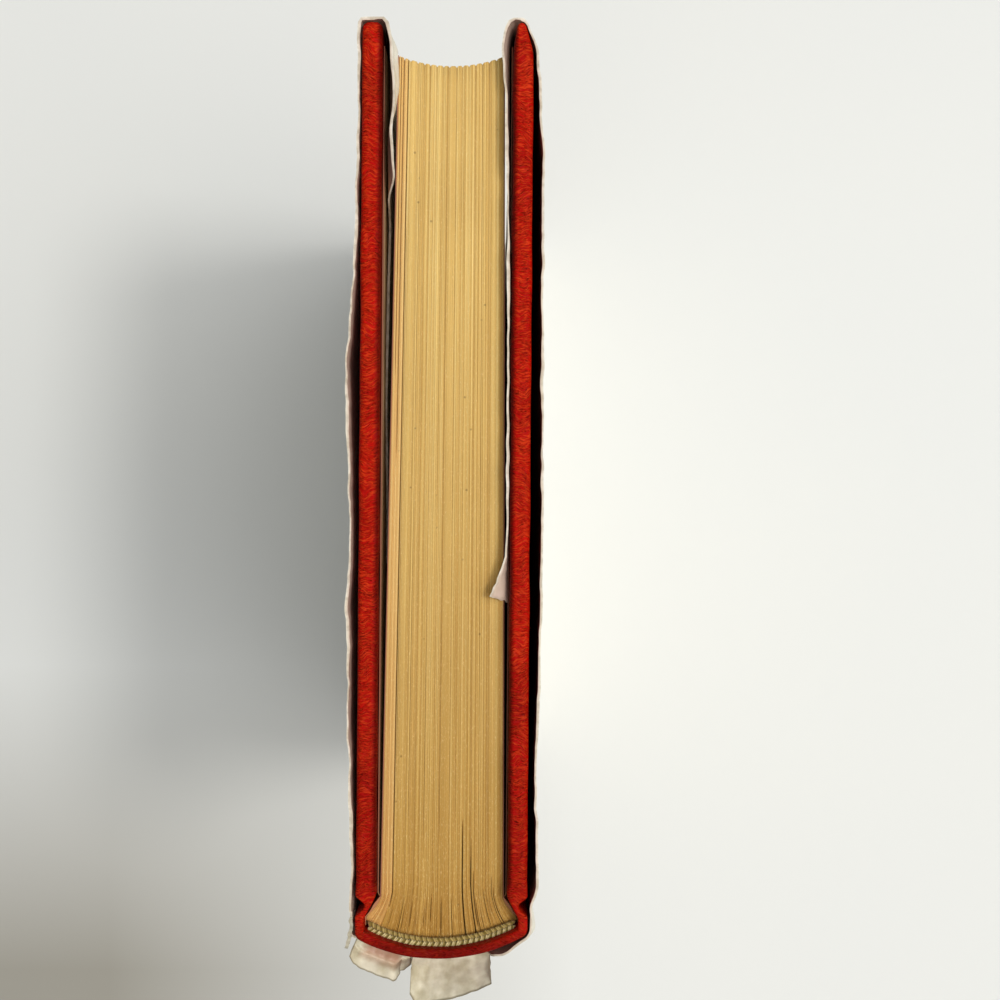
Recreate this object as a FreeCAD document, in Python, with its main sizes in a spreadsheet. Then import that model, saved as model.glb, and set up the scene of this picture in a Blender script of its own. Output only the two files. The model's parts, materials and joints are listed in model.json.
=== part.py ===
import FreeCAD, Part
import math
import os
import Sketcher

# A hardback book with a torn dust jacket, standing upright on its tail edge.
# +Z runs from tail to head, +Y from the spine to the fore edge, and the front cover is on +X.
# The origin is the middle of the ground that the whole book covers.
# A block of sewn sections hangs in a case: two boards and a spine strip under one cloth.
# Each cover swings about the groove beside the spine and takes its part of the jacket along.

Vec = FreeCAD.Vector
doc = FreeCAD.newDocument("HardbackBook")

# Driving dimensions, in millimetres apart from the counts.
SIZES = (
    ("page_height", 203.6, "leaves, tail edge to head edge"),
    ("page_reach", 130.4, "leaves, shoulders to the corners of the fore edge"),
    ("fore_thickness", 15.9, "text block at the fore edge"),
    ("joint_thickness", 18.4, "text block where the shoulders begin"),
    ("shoulder_flare", 2.2, "how far each backed shoulder stands out"),
    ("shoulder_reach", 3.4, "length over which it does so"),
    ("back_rise", 3.0, "how far the back is rounded"),
    ("fore_hollow", 1.5, "how far the fore edge is hollowed"),
    ("block_lean", 0.5, "how far the fore edge leans towards the front cover"),
    ("section_count", 16, "sewn sections"),
    ("section_bump", 0.22, "how far the fore edge of a section is rounded"),
    ("thread_thickness", 0.5, "sewing thread where it crosses the back"),
    ("thread_rows", 6, "sewing stations from tail to head"),
    ("kettle_inset", 14, "first and last stations from the ends of the leaves"),
    ("band_bead", 1.7, "bead of the headband, across"),
    ("band_skirt", 9, "tape below the bead, glued to the back"),
    ("glue_line", 0.1, "glue between the leaves and what is stuck to their back"),
    ("gauze_thickness", 0.2, "gauze over the back and the boards"),
    ("gauze_inset", 14, "gauze from the ends of the leaves"),
    ("gauze_flange", 25, "gauze on the inside of each board"),
    ("liner_thickness", 0.25, "paper over the gauze"),
    ("liner_inset", 3, "that paper from the ends of the leaves"),
    ("hollow", 0.65, "gap between the lining and the spine strip"),
    ("inlay_thickness", 0.6, "card strip that stiffens the spine"),
    ("inlay_trim", 1.2, "card strip short of the outside of the covers"),
    ("board_thickness", 2.4, "each cover board"),
    ("board_round", 0.5, "rounding of the edges of the boards"),
    ("cloth_thickness", 0.4, "leather-grained cloth"),
    ("turn_in", 15, "cloth turned over the edges of the boards and the spine"),
    ("head_square", 3.2, "covers past the leaves at head and tail"),
    ("fore_square", 4.35, "covers past the leaves at the fore edge"),
    ("joint_width", 3.2, "groove, from the boards to the ridge of the spine"),
    ("joint_clear", 0.85, "boards beyond the shoulders"),
    ("groove_depth", 1.5, "groove below the outside of the covers"),
    ("spine_round", 1.4, "rounding where the spine turns into its sides"),
    ("cover_play", 0.26, "covers clear of the text block at the joint"),
    ("swing_gap", 0.3, "between what swings and what stays, at the joint"),
    ("paper_thickness", 0.12, "endpapers"),
    ("paste_margin", 3, "cloth that shows round the pasted endpapers"),
    ("jacket_thickness", 0.2, "jacket paper"),
    ("jacket_play", 0.45, "jacket clear of the spine and of the edges of the boards"),
    ("jacket_stand", 2.1, "jacket out from the covers where it stands off most"),
    ("jacket_short", 0.2, "jacket short of the covers at head and tail"),
    ("jacket_fold", 1.1, "rounding of the jacket at the fore edge"),
    ("front_flap", 86, "jacket folded inside the front cover"),
    ("back_flap", 82, "jacket folded inside the back cover"),
    ("rise_length", 16, "length over which the jacket comes away, from the joint"),
    ("fall_length", 27, "length over which it comes back, before the fore edge"),
    ("front_belly", 62, "where the front of the jacket stands off most, from the joint"),
    ("back_belly", 84, "where the back of the jacket stands off most, from the joint"),
    ("nick_depth", 1.4, "deepest nick in the head edge of the jacket"),
    ("tear_drop", 7.5, "how far the head of the jacket is torn down at the spine"),
    ("scrap_reach", 7.6, "furthest torn scrap, out from the spine"),
    ("scrap_lift", 2.5, "how far that scrap rises towards its tip"),
)

# Places worked out from the driving dimensions.
LAYOUT = (
    ("tail_edge", "0"),
    ("leaf_height", "=Sizes.page_height"),
    ("cover_height", "=leaf_height + 2 * Sizes.head_square"),
    ("board_low", "=Sizes.cloth_thickness"),
    ("board_height", "=cover_height - 2 * Sizes.cloth_thickness"),
    ("leaf_low", "=Sizes.head_square"),
    ("leaf_high", "=leaf_low + leaf_height"),
    ("block_half", "=Sizes.joint_thickness / 2"),
    ("shoulder_half", "=block_half + Sizes.shoulder_flare"),
    ("cover_in", "=block_half + Sizes.paper_thickness + Sizes.cover_play"),
    ("cloth_in", "=cover_in + Sizes.paper_thickness"),
    ("board_in", "=cloth_in + Sizes.cloth_thickness"),
    ("board_out", "=board_in + Sizes.board_thickness"),
    ("cover_out", "=board_out + Sizes.cloth_thickness"),
    ("back_radius", "=(shoulder_half ^ 2 + Sizes.back_rise ^ 2) / (2 * Sizes.back_rise)"),
    ("glued_radius", "=back_radius + Sizes.glue_line"),
    ("gauze_radius", "=glued_radius + Sizes.gauze_thickness"),
    ("liner_radius", "=gauze_radius + Sizes.liner_thickness"),
    ("hollow_radius", "=liner_radius + Sizes.hollow"),
    ("inlay_radius", "=hollow_radius + Sizes.inlay_thickness"),
    ("case_radius", "=inlay_radius + Sizes.cloth_thickness"),
    ("inlay_half", "=cover_out - Sizes.inlay_trim"),
    ("spine_reach", "=Sizes.back_rise + case_radius - back_radius"),
    ("jacket_reach", "=Sizes.page_reach + Sizes.fore_square + Sizes.jacket_play"),
    ("fore_reach", "=jacket_reach + Sizes.jacket_thickness"),
    ("shoulder_y", "=(spine_reach + Sizes.scrap_reach - fore_reach) / 2"),
    ("arc_y", "=shoulder_y + back_radius - Sizes.back_rise"),
    ("flare_y", "=shoulder_y + Sizes.shoulder_reach"),
    ("board_joint", "=flare_y + Sizes.joint_clear"),
    ("ridge_y", "=board_joint - Sizes.joint_width"),
    ("hinge_y", "=board_joint - Sizes.joint_width / 2"),
    ("leaf_fore", "=shoulder_y + Sizes.page_reach"),
    ("cover_fore", "=leaf_fore + Sizes.fore_square"),
    ("board_fore", "=cover_fore - Sizes.cloth_thickness"),
    ("front_fore_x", "=Sizes.block_lean + Sizes.fore_thickness / 2"),
    ("front_leaf_x", "=front_fore_x + Sizes.paper_thickness"),
    ("front_side_x", "=block_half + Sizes.paper_thickness"),
    ("back_fore_x", "=Sizes.block_lean - Sizes.fore_thickness / 2"),
    ("back_leaf_x", "=back_fore_x - Sizes.paper_thickness"),
    ("back_block_x", "=-block_half"),
    ("back_side_x", "=-front_side_x"),
    ("gauze_low", "=leaf_low + Sizes.gauze_inset"),
    ("gauze_height", "=leaf_height - 2 * Sizes.gauze_inset"),
    ("liner_low", "=leaf_low + Sizes.liner_inset"),
    ("liner_height", "=leaf_height - 2 * Sizes.liner_inset"),
    ("flange_fore", "=board_joint + Sizes.gauze_flange"),
    ("flange_in", "=board_in - Sizes.gauze_thickness"),
    ("flange_low", "=max(gauze_low; Sizes.turn_in)"),
    ("flange_height", "=cover_height - 2 * flange_low"),
    ("window_low", "=Sizes.turn_in"),
    ("window_height", "=cover_height - 2 * Sizes.turn_in"),
    ("window_fore", "=cover_fore - Sizes.turn_in"),
    ("paste_low", "=Sizes.paste_margin"),
    ("paste_height", "=cover_height - 2 * Sizes.paste_margin"),
    ("paste_fore", "=cover_fore - Sizes.paste_margin"),
    ("sunk_low", "=window_low + Sizes.paper_thickness"),
    ("sunk_height", "=window_height - 2 * Sizes.paper_thickness"),
    ("sunk_fore", "=window_fore - Sizes.paper_thickness"),
    ("sunk_in", "=flange_in - Sizes.paper_thickness"),
    ("jacket_in", "=cover_out + Sizes.jacket_play"),
    ("jacket_fore", "=cover_fore + Sizes.jacket_play"),
    ("jacket_low", "=Sizes.jacket_short"),
    ("jacket_height", "=cover_height - 2 * Sizes.jacket_short"),
    ("tear_low", "=cover_height - Sizes.tear_drop"),
    ("swing_start", "=hinge_y + Sizes.swing_gap / 2"),
    ("swing_stop", "=hinge_y - Sizes.swing_gap / 2"),
)


def fill_sheet(label, rows):
    """A spreadsheet with one named cell for each row, its note beside it."""
    sheet = doc.addObject("Spreadsheet::Sheet", label)
    for number, (alias, content, *note) in enumerate(rows, start=1):
        sheet.set(f"A{number}", alias)
        sheet.set(f"B{number}", str(content))
        sheet.setAlias(f"B{number}", alias)
        if note:
            sheet.set(f"C{number}", note[0])
    return sheet


sizes = fill_sheet("Sizes", SIZES)
layout = fill_sheet("Layout", LAYOUT)
doc.recompute()


def size(alias):
    return float(sizes.get(alias))


def place(alias):
    return float(layout.get(alias))


def at(x, y):
    return Vec(x, y, 0)


# The axis that the rounded back and all its linings turn about.
AXIS = at(0, place("arc_y"))

# Building blocks


def ground_sketch(body, name, z_low):
    """A sketch on the body's own ground plane, raised to a named height."""
    sketch = body.newObject("Sketcher::SketchObject", name)
    ground = next(f for f in body.Origin.OriginFeatures if f.Role == "XY_Plane")
    sketch.AttachmentSupport = [(ground, "")]
    sketch.MapMode = "FlatFace"
    sketch.setExpression("AttachmentOffset.Base.z", f"Layout.{z_low}")
    return sketch


def bind(sketch, label, constraint, alias):
    """A constraint whose value is a named place."""
    sketch.renameConstraint(sketch.addConstraint(constraint), label)
    sketch.setExpression(f"Constraints.{label}", f"Layout.{alias}")


def outline_sketch(body, name, z_low, corners):
    """A closed outline of straight lines, each corner a pair of named places."""
    sketch = ground_sketch(body, name, z_low)
    points = [at(place(x), place(y)) for x, y in corners]
    count = len(points)
    for start in range(count):
        sketch.addGeometry(Part.LineSegment(points[start], points[(start + 1) % count]), False)
    for start, (x, y) in enumerate(corners):
        following = (start + 1) % count
        sketch.addConstraint(Sketcher.Constraint("Coincident", start, 2, following, 1))
        across = Sketcher.Constraint("DistanceX", -1, 1, start, 1, place(x))
        along = Sketcher.Constraint("DistanceY", -1, 1, start, 1, place(y))
        bind(sketch, f"across_{start}", across, x)
        bind(sketch, f"along_{start}", along, y)
    return sketch


def strip_sketch(body, name, z_low, inner, outer, half):
    """A strip curved about the axis of the back, out to the same distance each side."""
    sketch = ground_sketch(body, name, z_low)
    arcs = []
    for radius in (place(inner), place(outer)):
        swing = math.asin(place(half) / radius)
        circle = Part.Circle(AXIS, Vec(0, 0, 1), radius)
        arcs.append(Part.ArcOfCircle(circle, -math.pi / 2 - swing, -math.pi / 2 + swing))
        sketch.addGeometry(arcs[-1], False)
    sides = ((arcs[0].StartPoint, arcs[1].StartPoint), (arcs[0].EndPoint, arcs[1].EndPoint))
    for end, (near, far) in enumerate(sides, start=1):
        line = sketch.addGeometry(Part.LineSegment(near, far), False)
        sketch.addConstraint(Sketcher.Constraint("Coincident", line, 1, 0, end))
        sketch.addConstraint(Sketcher.Constraint("Coincident", line, 2, 1, end))
        sketch.addConstraint(Sketcher.Constraint("Vertical", line))
    sketch.addConstraint(Sketcher.Constraint("PointOnObject", 0, 3, -2))
    sketch.addConstraint(Sketcher.Constraint("Coincident", 0, 3, 1, 3))
    reach = place(half)
    bind(sketch, "axis", Sketcher.Constraint("DistanceY", -1, 1, 0, 3, AXIS.y), "arc_y")
    bind(sketch, "inner", Sketcher.Constraint("Radius", 0, place(inner)), inner)
    bind(sketch, "outer", Sketcher.Constraint("Radius", 1, place(outer)), outer)
    bind(sketch, "front_half", Sketcher.Constraint("DistanceX", -1, 1, 1, 2, reach), half)
    bind(sketch, "back_half", Sketcher.Constraint("DistanceX", 1, 1, -1, 1, reach), half)
    return sketch


def pad(body, sketch, height):
    feature = body.newObject("PartDesign::Pad", f"{sketch.Name}_pad")
    feature.Profile = sketch
    feature.setExpression("Length", f"Layout.{height}")
    body.Tip = feature
    return feature


def pocket(body, sketch, height):
    """Takes away what stands over the sketch, up to a named height."""
    feature = body.newObject("PartDesign::Pocket", f"{sketch.Name}_pocket")
    feature.Profile = sketch
    feature.Reversed = True
    feature.setExpression("Length", f"Layout.{height}")
    body.Tip = feature
    return feature


def rectangle(x_low, x_high, y_low, y_high):
    return ((x_low, y_low), (x_high, y_low), (x_high, y_high), (x_low, y_high))


def prism(name, z_low, height, corners):
    """A body of one pad, from an outline of named places."""
    body = doc.addObject("PartDesign::Body", name)
    pad(body, outline_sketch(body, f"{name}_section", z_low, corners), height)
    return body


def curved_strip(name, z_low, height, inner, outer, half):
    """A body of one pad: a lining that follows the rounded back."""
    body = doc.addObject("PartDesign::Body", name)
    pad(body, strip_sketch(body, f"{name}_section", z_low, inner, outer, half), height)
    return body


def box(name, x_low, x_high, y_low, y_high, z_low, height):
    """A box between named places."""
    result = doc.addObject("Part::Box", name)
    result.setExpression("Length", f"Layout.{x_high} - Layout.{x_low}")
    result.setExpression("Width", f"Layout.{y_high} - Layout.{y_low}")
    result.setExpression("Height", f"Layout.{height}")
    result.setExpression("Placement.Base.x", f"Layout.{x_low}")
    result.setExpression("Placement.Base.y", f"Layout.{y_low}")
    result.setExpression("Placement.Base.z", f"Layout.{z_low}")
    return result


def cut(name, base, tool):
    result = doc.addObject("Part::Cut", name)
    result.Base = base
    result.Tool = tool
    return result


def mirrored(name, source):
    """The same piece on the other side of the book."""
    result = doc.addObject("Part::Mirroring", name)
    result.Source = source
    result.Normal = Vec(1, 0, 0)
    return result


def shaped(name, shape):
    result = doc.addObject("Part::Feature", name)
    result.Shape = shape
    return result


def face_of(edges):
    return Part.Face(Part.Wire(Part.__sortEdges__(edges)))


def polygon_face(points):
    return Part.Face(Part.makePolygon(points + points[:1]))


def raised(face, z_low, height):
    """The solid over a flat face, from one height up by another."""
    lifted = face.copy()
    lifted.translate(Vec(0, 0, z_low))
    return lifted.extrude(Vec(0, 0, height))


# Text block and its sewing


def fore_edge_arcs():
    """The hollow fore edge, one small bulge for each sewn section."""
    front, back = place("front_fore_x"), place("back_fore_x")
    middle, half = (front + back) / 2, (front - back) / 2
    count = round(size("section_count"))

    def on_hollow(step):
        across = 1 - 2 * step / count
        sink = size("fore_hollow") * (1 - across ** 2)
        return at(middle + half * across, place("leaf_fore") - sink)

    arcs = []
    for section in range(count):
        crest = on_hollow(section + 0.5) + at(0, size("section_bump"))
        arcs.append(Part.Arc(on_hollow(section), crest, on_hollow(section + 1)).toShape())
    return arcs


def shoulder(side):
    """One flaring side of the backed shoulders: its two ends and the arc between them."""
    reach = size("shoulder_reach")
    out = place("shoulder_half") - place("block_half")
    bend = (out ** 2 + reach ** 2) / (2 * out)
    near = at(side * place("block_half"), place("flare_y"))
    tip = at(side * place("shoulder_half"), place("shoulder_y"))
    half_turn = math.asin(reach / bend) / 2
    centre = near + at(side * bend, 0)
    between = centre - at(side * bend * math.cos(half_turn), bend * math.sin(half_turn))
    return near, tip, Part.Arc(near, between, tip).toShape()


def sewing_rows():
    """The height of every station where thread crosses the back."""
    low = place("leaf_low") + size("kettle_inset")
    span = place("leaf_height") - 2 * size("kettle_inset")
    rows = round(size("thread_rows"))
    return [low + span * row / (rows - 1) for row in range(rows)]


def thread_crossing(height):
    """Flattened thread in a sawn groove round the back, flush so that the gauze lies flat."""
    radius, thickness = place("back_radius"), size("thread_thickness")
    low = AXIS + Vec(0, 0, height - thickness / 2)
    disc = Part.makeCylinder(radius, thickness, low)
    ring = disc.cut(Part.makeCylinder(radius - thickness, thickness, low))
    half = place("block_half")
    corner = Vec(-half, AXIS.y - radius, low.z)
    return ring.common(Part.makeBox(2 * half, radius, thickness, corner))


def block_shape(threads):
    front_near, front_tip, front_flare = shoulder(1)
    back_near, back_tip, back_flare = shoulder(-1)
    crown = AXIS - at(0, place("back_radius"))
    section = face_of([
        front_flare,
        Part.makeLine(front_near, at(place("front_fore_x"), place("leaf_fore"))),
        *fore_edge_arcs(),
        Part.makeLine(at(place("back_fore_x"), place("leaf_fore")), back_near),
        back_flare,
        Part.Arc(back_tip, crown, front_tip).toShape(),
    ])
    return raised(section, place("leaf_low"), place("leaf_height")).cut(threads)


crossings = [thread_crossing(height) for height in sewing_rows()]
sewing_threads = shaped("sewing_threads", Part.makeCompound(crossings))
text_block = shaped("text_block", block_shape(crossings))

# Headband and tailband


def band_shape(end_height, way):
    """A corded bead on the ends of the leaves, its tape glued down the back."""
    bead, skirt = size("band_bead") / 2, size("band_skirt")
    outer = place("gauze_radius")
    centre = AXIS + Vec(0, 0, end_height + way * bead)
    cord = Part.makeTorus(outer - bead, bead, centre)
    tape = Part.makeCylinder(outer, bead + skirt, centre, Vec(0, 0, -way))
    tape = tape.cut(Part.makeCylinder(place("glued_radius"), bead + skirt, centre, Vec(0, 0, -way)))
    half = place("shoulder_half") - bead
    depth = size("back_rise") + 4 * bead
    corner = Vec(-half, place("shoulder_y") + 2 * bead - depth, end_height - 2 * skirt)
    return cord.fuse(tape).common(Part.makeBox(2 * half, depth, 4 * skirt, corner))


headband = shaped("headband", band_shape(place("leaf_high"), 1))
tailband = shaped("tailband", band_shape(place("leaf_low"), -1))

# Linings of the spine, and the free endpaper on each side of the text block

spine_gauze = curved_strip("spine_gauze", "gauze_low", "gauze_height",
                           "glued_radius", "gauze_radius", "shoulder_half")
spine_liner = curved_strip("spine_liner", "liner_low", "liner_height",
                           "gauze_radius", "liner_radius", "shoulder_half")
spine_inlay = curved_strip("spine_inlay", "board_low", "board_height",
                           "hollow_radius", "inlay_radius", "inlay_half")
front_flyleaf = prism("front_flyleaf", "leaf_low", "leaf_height", (
    ("block_half", "flare_y"), ("front_side_x", "flare_y"),
    ("front_leaf_x", "leaf_fore"), ("front_fore_x", "leaf_fore")))
back_flyleaf = prism("back_flyleaf", "leaf_low", "leaf_height", (
    ("back_side_x", "flare_y"), ("back_block_x", "flare_y"),
    ("back_fore_x", "leaf_fore"), ("back_leaf_x", "leaf_fore")))
doc.recompute()

# Cloth over the spine, from groove to groove


def spine_face(half, radius, turn, ends):
    """The area inside a spine: flat sides, rounded corners and a rounded back.
    ends are the points that carry a side on towards the leaves."""
    centre = at(half - turn, AXIS.y - math.sqrt((radius - turn) ** 2 - (half - turn) ** 2))
    side = at(half, centre.y)
    back = AXIS + (centre - AXIS).normalize() * radius
    between = centre + (side + back - centre * 2).normalize() * turn
    front = [*ends[::-1], side]
    behind = [at(-point.x, point.y) for point in front[::-1]]
    edges = [Part.makeLine(a, b) for a, b in zip(front, front[1:])]
    edges.append(Part.Arc(side, between, back).toShape())
    edges.append(Part.Arc(back, AXIS - at(0, radius), at(-back.x, back.y)).toShape())
    edges.append(Part.Arc(at(-back.x, back.y), at(-between.x, between.y), behind[0]).toShape())
    edges += [Part.makeLine(a, b) for a, b in zip(behind, behind[1:])]
    edges.append(Part.makeLine(behind[-1], front[0]))
    return face_of(edges)


def groove_slant():
    """How thick the cloth is, measured straight across, where it slants into the groove."""
    run = size("joint_width") / 2
    return size("cloth_thickness") * math.hypot(run, size("groove_depth")) / run


def spine_cloth_shape():
    cloth = size("cloth_thickness")
    half, radius, turn = place("cover_out"), place("case_radius"), size("spine_round")
    groove, stop = half - size("groove_depth"), place("swing_stop")
    ridge = place("ridge_y")
    outside = spine_face(half, radius, turn, [at(half, ridge), at(groove, stop)])
    inside = spine_face(half - cloth, radius - cloth, turn - cloth,
                        [at(half - cloth, ridge), at(groove - groove_slant(), stop)])
    shell = raised(outside.cut(inside), 0, place("cover_height"))
    lip = place("inlay_half") + cloth
    for low in (0, place("cover_height") - size("turn_in")):
        centre = AXIS + Vec(0, 0, low)
        ring = Part.makeCylinder(radius - cloth / 2, size("turn_in"), centre)
        ring = ring.cut(Part.makeCylinder(place("hollow_radius") - cloth, size("turn_in"), centre))
        corner = Vec(-lip, AXIS.y - radius, low)
        shell = shell.fuse(ring.common(Part.makeBox(2 * lip, radius, size("turn_in"), corner)))
    return shell.cut(spine_inlay.Shape)


spine_cloth = shaped("spine_cloth", spine_cloth_shape())

# Front cover, and the back cover as its mirror image

front_board = doc.addObject("PartDesign::Body", "front_board")
board_section = outline_sketch(front_board, "board_section", "board_low",
                               rectangle("board_in", "board_out", "board_joint", "board_fore"))
board_pad = pad(front_board, board_section, "board_height")
board_edges = front_board.newObject("PartDesign::Fillet", "board_edges")
board_edges.Base = (board_pad, [""])
board_edges.UseAllEdges = True
board_edges.setExpression("Radius", "Sizes.board_round")
front_board.Tip = board_edges


def wrap_body():
    """The outside of a cover, rounded but for the edge beside the groove."""
    body = doc.addObject("PartDesign::Body", "cover_wrap")
    section = outline_sketch(body, "wrap_section", "tail_edge",
                             rectangle("cloth_in", "cover_out", "board_joint", "cover_fore"))
    plain = pad(body, section, "cover_height")
    doc.recompute()
    beside_groove = place("board_joint") + size("cloth_thickness")
    rounded = [f"Edge{number}" for number, edge in enumerate(plain.Shape.Edges, start=1)
               if edge.BoundBox.YMax > beside_groove]
    edges = body.newObject("PartDesign::Fillet", "wrap_edges")
    edges.Base = (plain, rounded)
    edges.setExpression("Radius", "Sizes.board_round + Sizes.cloth_thickness")
    body.Tip = edges
    return body


def groove_strip_shape():
    """The cloth from the edge of the front board down into the groove."""
    edge, groove = place("cover_out"), place("cover_out") - size("groove_depth")
    top, bottom = place("board_joint"), place("swing_start")
    slant = groove_slant()
    face = polygon_face([at(edge, top), at(groove, bottom),
                         at(groove - slant, bottom), at(edge - slant, top)])
    return raised(face, 0, place("cover_height"))


cover_wrap = wrap_body()
cloth_window = box("cloth_window", "cloth_in", "board_in", "board_joint", "window_fore",
                   "window_low", "window_height")
folded_cloth = cut("folded_cloth", cut("hollow_wrap", cover_wrap, front_board), cloth_window)
groove_strip = shaped("groove_strip", groove_strip_shape())
front_cloth = doc.addObject("Part::MultiFuse", "front_cloth")
front_cloth.Shapes = [folded_cloth, groove_strip]
front_cloth.Refine = True

front_gauze = box("front_gauze", "flange_in", "board_in", "board_joint", "flange_fore",
                  "flange_low", "flange_height")

front_pastedown = prism("front_pastedown", "paste_low", "paste_height",
                        rectangle("cover_in", "cloth_in", "board_joint", "paste_fore"))
sunk_section = outline_sketch(front_pastedown, "sunk_section", "window_low",
                              rectangle("cover_in", "flange_in", "board_joint", "window_fore"))
pad(front_pastedown, sunk_section, "window_height")
dip_section = outline_sketch(front_pastedown, "dip_section", "sunk_low",
                             rectangle("cover_in", "sunk_in", "board_joint", "sunk_fore"))
pocket(front_pastedown, dip_section, "sunk_height")

back_board = mirrored("back_board", front_board)
back_cloth = mirrored("back_cloth", front_cloth)
back_gauze = mirrored("back_gauze", front_gauze)
back_pastedown = mirrored("back_pastedown", front_pastedown)

# Dust jacket: a panel and flap for each cover, and the torn part round the spine


def sheet_face(corners, radii, thickness):
    """A bent sheet seen from its end. corners lie along one face, radii round the inner ones,
    and the sheet is thick towards its right hand side."""
    edges = []
    last = corners[0]
    for before, corner, after, radius in zip(corners, corners[1:], corners[2:], radii):
        back, on = before - corner, after - corner
        longest = min(back.Length, on.Length) / 2.1
        half_turn = (math.pi - back.getAngle(on)) / 2
        reach = min(radius * math.tan(half_turn), longest)
        bend = reach / math.tan(half_turn)
        back.normalize()
        on.normalize()
        between = corner + (back + on).normalize() * (bend / math.cos(half_turn) - bend)
        edges.append(Part.makeLine(last, corner + back * reach))
        edges.append(Part.Arc(corner + back * reach, between, corner + on * reach).toShape())
        last = corner + on * reach
    edges.append(Part.makeLine(last, corners[-1]))
    return Part.Wire(edges).makeOffset2D(thickness, 0, True, True)


def nick(middle, width, depth):
    """What is missing from the head edge of a panel: a torn notch."""
    top = place("cover_height")
    tip = Vec(0, middle, place("jacket_low") + place("jacket_height") - depth)
    face = polygon_face([Vec(0, middle - width / 2, top), tip, Vec(0, middle + width / 2, top)])
    face.translate(Vec(place("cover_out"), 0, 0))
    return face.extrude(Vec(2 * size("jacket_stand"), 0, 0))


def panel_shape(flap, profile, nicks):
    """The jacket over the front cover, round its fore edge to the end of the flap.
    profile says how far it stands off, as places and shares of the greatest stand."""
    near, fore = place("jacket_in"), place("jacket_fore")
    bulge = size("jacket_stand") - size("jacket_play")
    corners = [at(near, place("swing_start"))]
    corners += [at(near + bulge * share, y) for y, share in profile]
    corners.append(at(near, place("board_fore")))
    corners.append(at(near, fore))
    corners.append(at(place("cover_in"), fore))
    corners.append(at(place("cover_in"), place("cover_fore") - flap))
    gentle = 4 * size("rise_length")
    radii = [gentle] * (len(profile) + 1) + [size("jacket_fold")] * 2
    section = sheet_face(corners, radii, size("jacket_thickness"))
    panel = raised(section, place("jacket_low"), place("jacket_height"))
    for notch in nicks:
        panel = panel.cut(nick(*notch))
    return panel


joint_end = place("swing_start") + size("rise_length")
fore_end = place("cover_fore") - size("fall_length")
front_crest = place("swing_start") + size("front_belly")
back_crest = place("swing_start") + size("back_belly")
deep = size("nick_depth")
front_jacket = shaped("front_jacket", panel_shape(
    size("front_flap"),
    ((joint_end, 0.45), (front_crest, 0.8), (fore_end, 0.5)),
    ((joint_end + 8, 3, deep / 2), (front_crest - 6, 5, deep), (fore_end, 4, deep * 0.7))))
back_jacket = shaped("back_jacket", panel_shape(
    size("back_flap"),
    ((joint_end, 0.3), (back_crest, 1.0), (fore_end, 0.1)),
    ((joint_end + 20, 4, deep * 0.6), (back_crest, 6, deep), (fore_end + 6, 3, deep / 2))
).mirror(Vec(), Vec(1, 0, 0)))


def jacket_spine_face(grow):
    """The area inside the jacket at the spine, or with its paper too."""
    half, radius = place("jacket_in") + grow, place("case_radius") + size("jacket_play") + grow
    turn = size("spine_round") + size("jacket_play") + grow
    return spine_face(half, radius, turn, [at(half, place("swing_stop"))])


def tear_shape():
    """What is torn away at the head of the spine, down to a ragged edge."""
    top, low, edge = place("cover_height"), place("tear_low"), place("jacket_in")
    ragged = ((-edge, 0.1), (-11, 0.75), (-6, 1), (-4.7, 0.7),
              (-4.2, 1), (7, 1), (9, 0.55), (edge, 0.1))
    points = [Vec(x, 0, top - (top - low) * share) for x, share in ragged]
    over = top + size("jacket_short")
    face = polygon_face([Vec(-edge, 0, over), *points, Vec(edge, 0, over)])
    face.translate(at(0, place("shoulder_y")))
    return face.extrude(at(0, -2 * place("spine_reach")))


def scrap_shape(root, tips):
    """A torn scrap of paper that hangs out from the foot of the tear.
    root gives its two ends along the spine, tips how far each point lies from the spine."""
    paper = size("jacket_thickness")
    radius = place("case_radius") + size("jacket_play") + paper / 2

    def on_spine(x):
        return at(x, AXIS.y - math.sqrt(radius ** 2 - x ** 2))

    left, right = root
    points = [on_spine(right), *[on_spine(0) - at(-x, reach) for x, reach in tips], on_spine(left)]
    edges = [Part.makeLine(a, b) for a, b in zip(points, points[1:])]
    edges.append(Part.Arc(on_spine(left), on_spine((left + right) / 2), on_spine(right)).toShape())
    outline = raised(face_of(edges), 0, place("cover_height"))
    length = 2 * size("scrap_reach")
    half = place("cover_out")
    sheet = Part.makeBox(2 * half, 2 * length, paper, Vec(-half, -length, -paper))
    slope = math.degrees(math.atan2(size("scrap_lift"), size("scrap_reach")))
    sheet.rotate(Vec(), Vec(1, 0, 0), -slope)
    sheet.translate(on_spine(0) + Vec(0, 0, place("tear_low")))
    return outline.common(sheet)


def jacket_spine_shape():
    rim = jacket_spine_face(size("jacket_thickness")).cut(jacket_spine_face(0))
    low, whole = place("jacket_low"), place("tear_low") - size("scrap_lift")
    torn = raised(rim, whole, low + place("jacket_height") - whole).cut(tear_shape())
    jacket = raised(rim, low, whole - low).fuse(torn)
    out = size("scrap_reach") - size("jacket_play") - size("jacket_thickness") / 2
    small = scrap_shape((-10.5, -5.2), ((-5, 2), (-7.2, 3.2), (-9.6, 2.6), (-12, 0.8)))
    large = scrap_shape((-4, 6.8), ((7.2, 1.5), (6.4, 3), (0.8, out * 0.8), (-3.6, out), (-4.4, 3.4)))
    return jacket.fuse(small).fuse(large)


spine_jacket = shaped("spine_jacket", jacket_spine_shape())

# Checks and files

NODES = (
    text_block, sewing_threads, headband, tailband,
    spine_gauze, spine_liner, spine_inlay, spine_cloth,
    front_flyleaf, back_flyleaf,
    front_board, front_cloth, front_gauze, front_pastedown,
    back_board, back_cloth, back_gauze, back_pastedown,
    front_jacket, back_jacket, spine_jacket,
)

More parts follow.
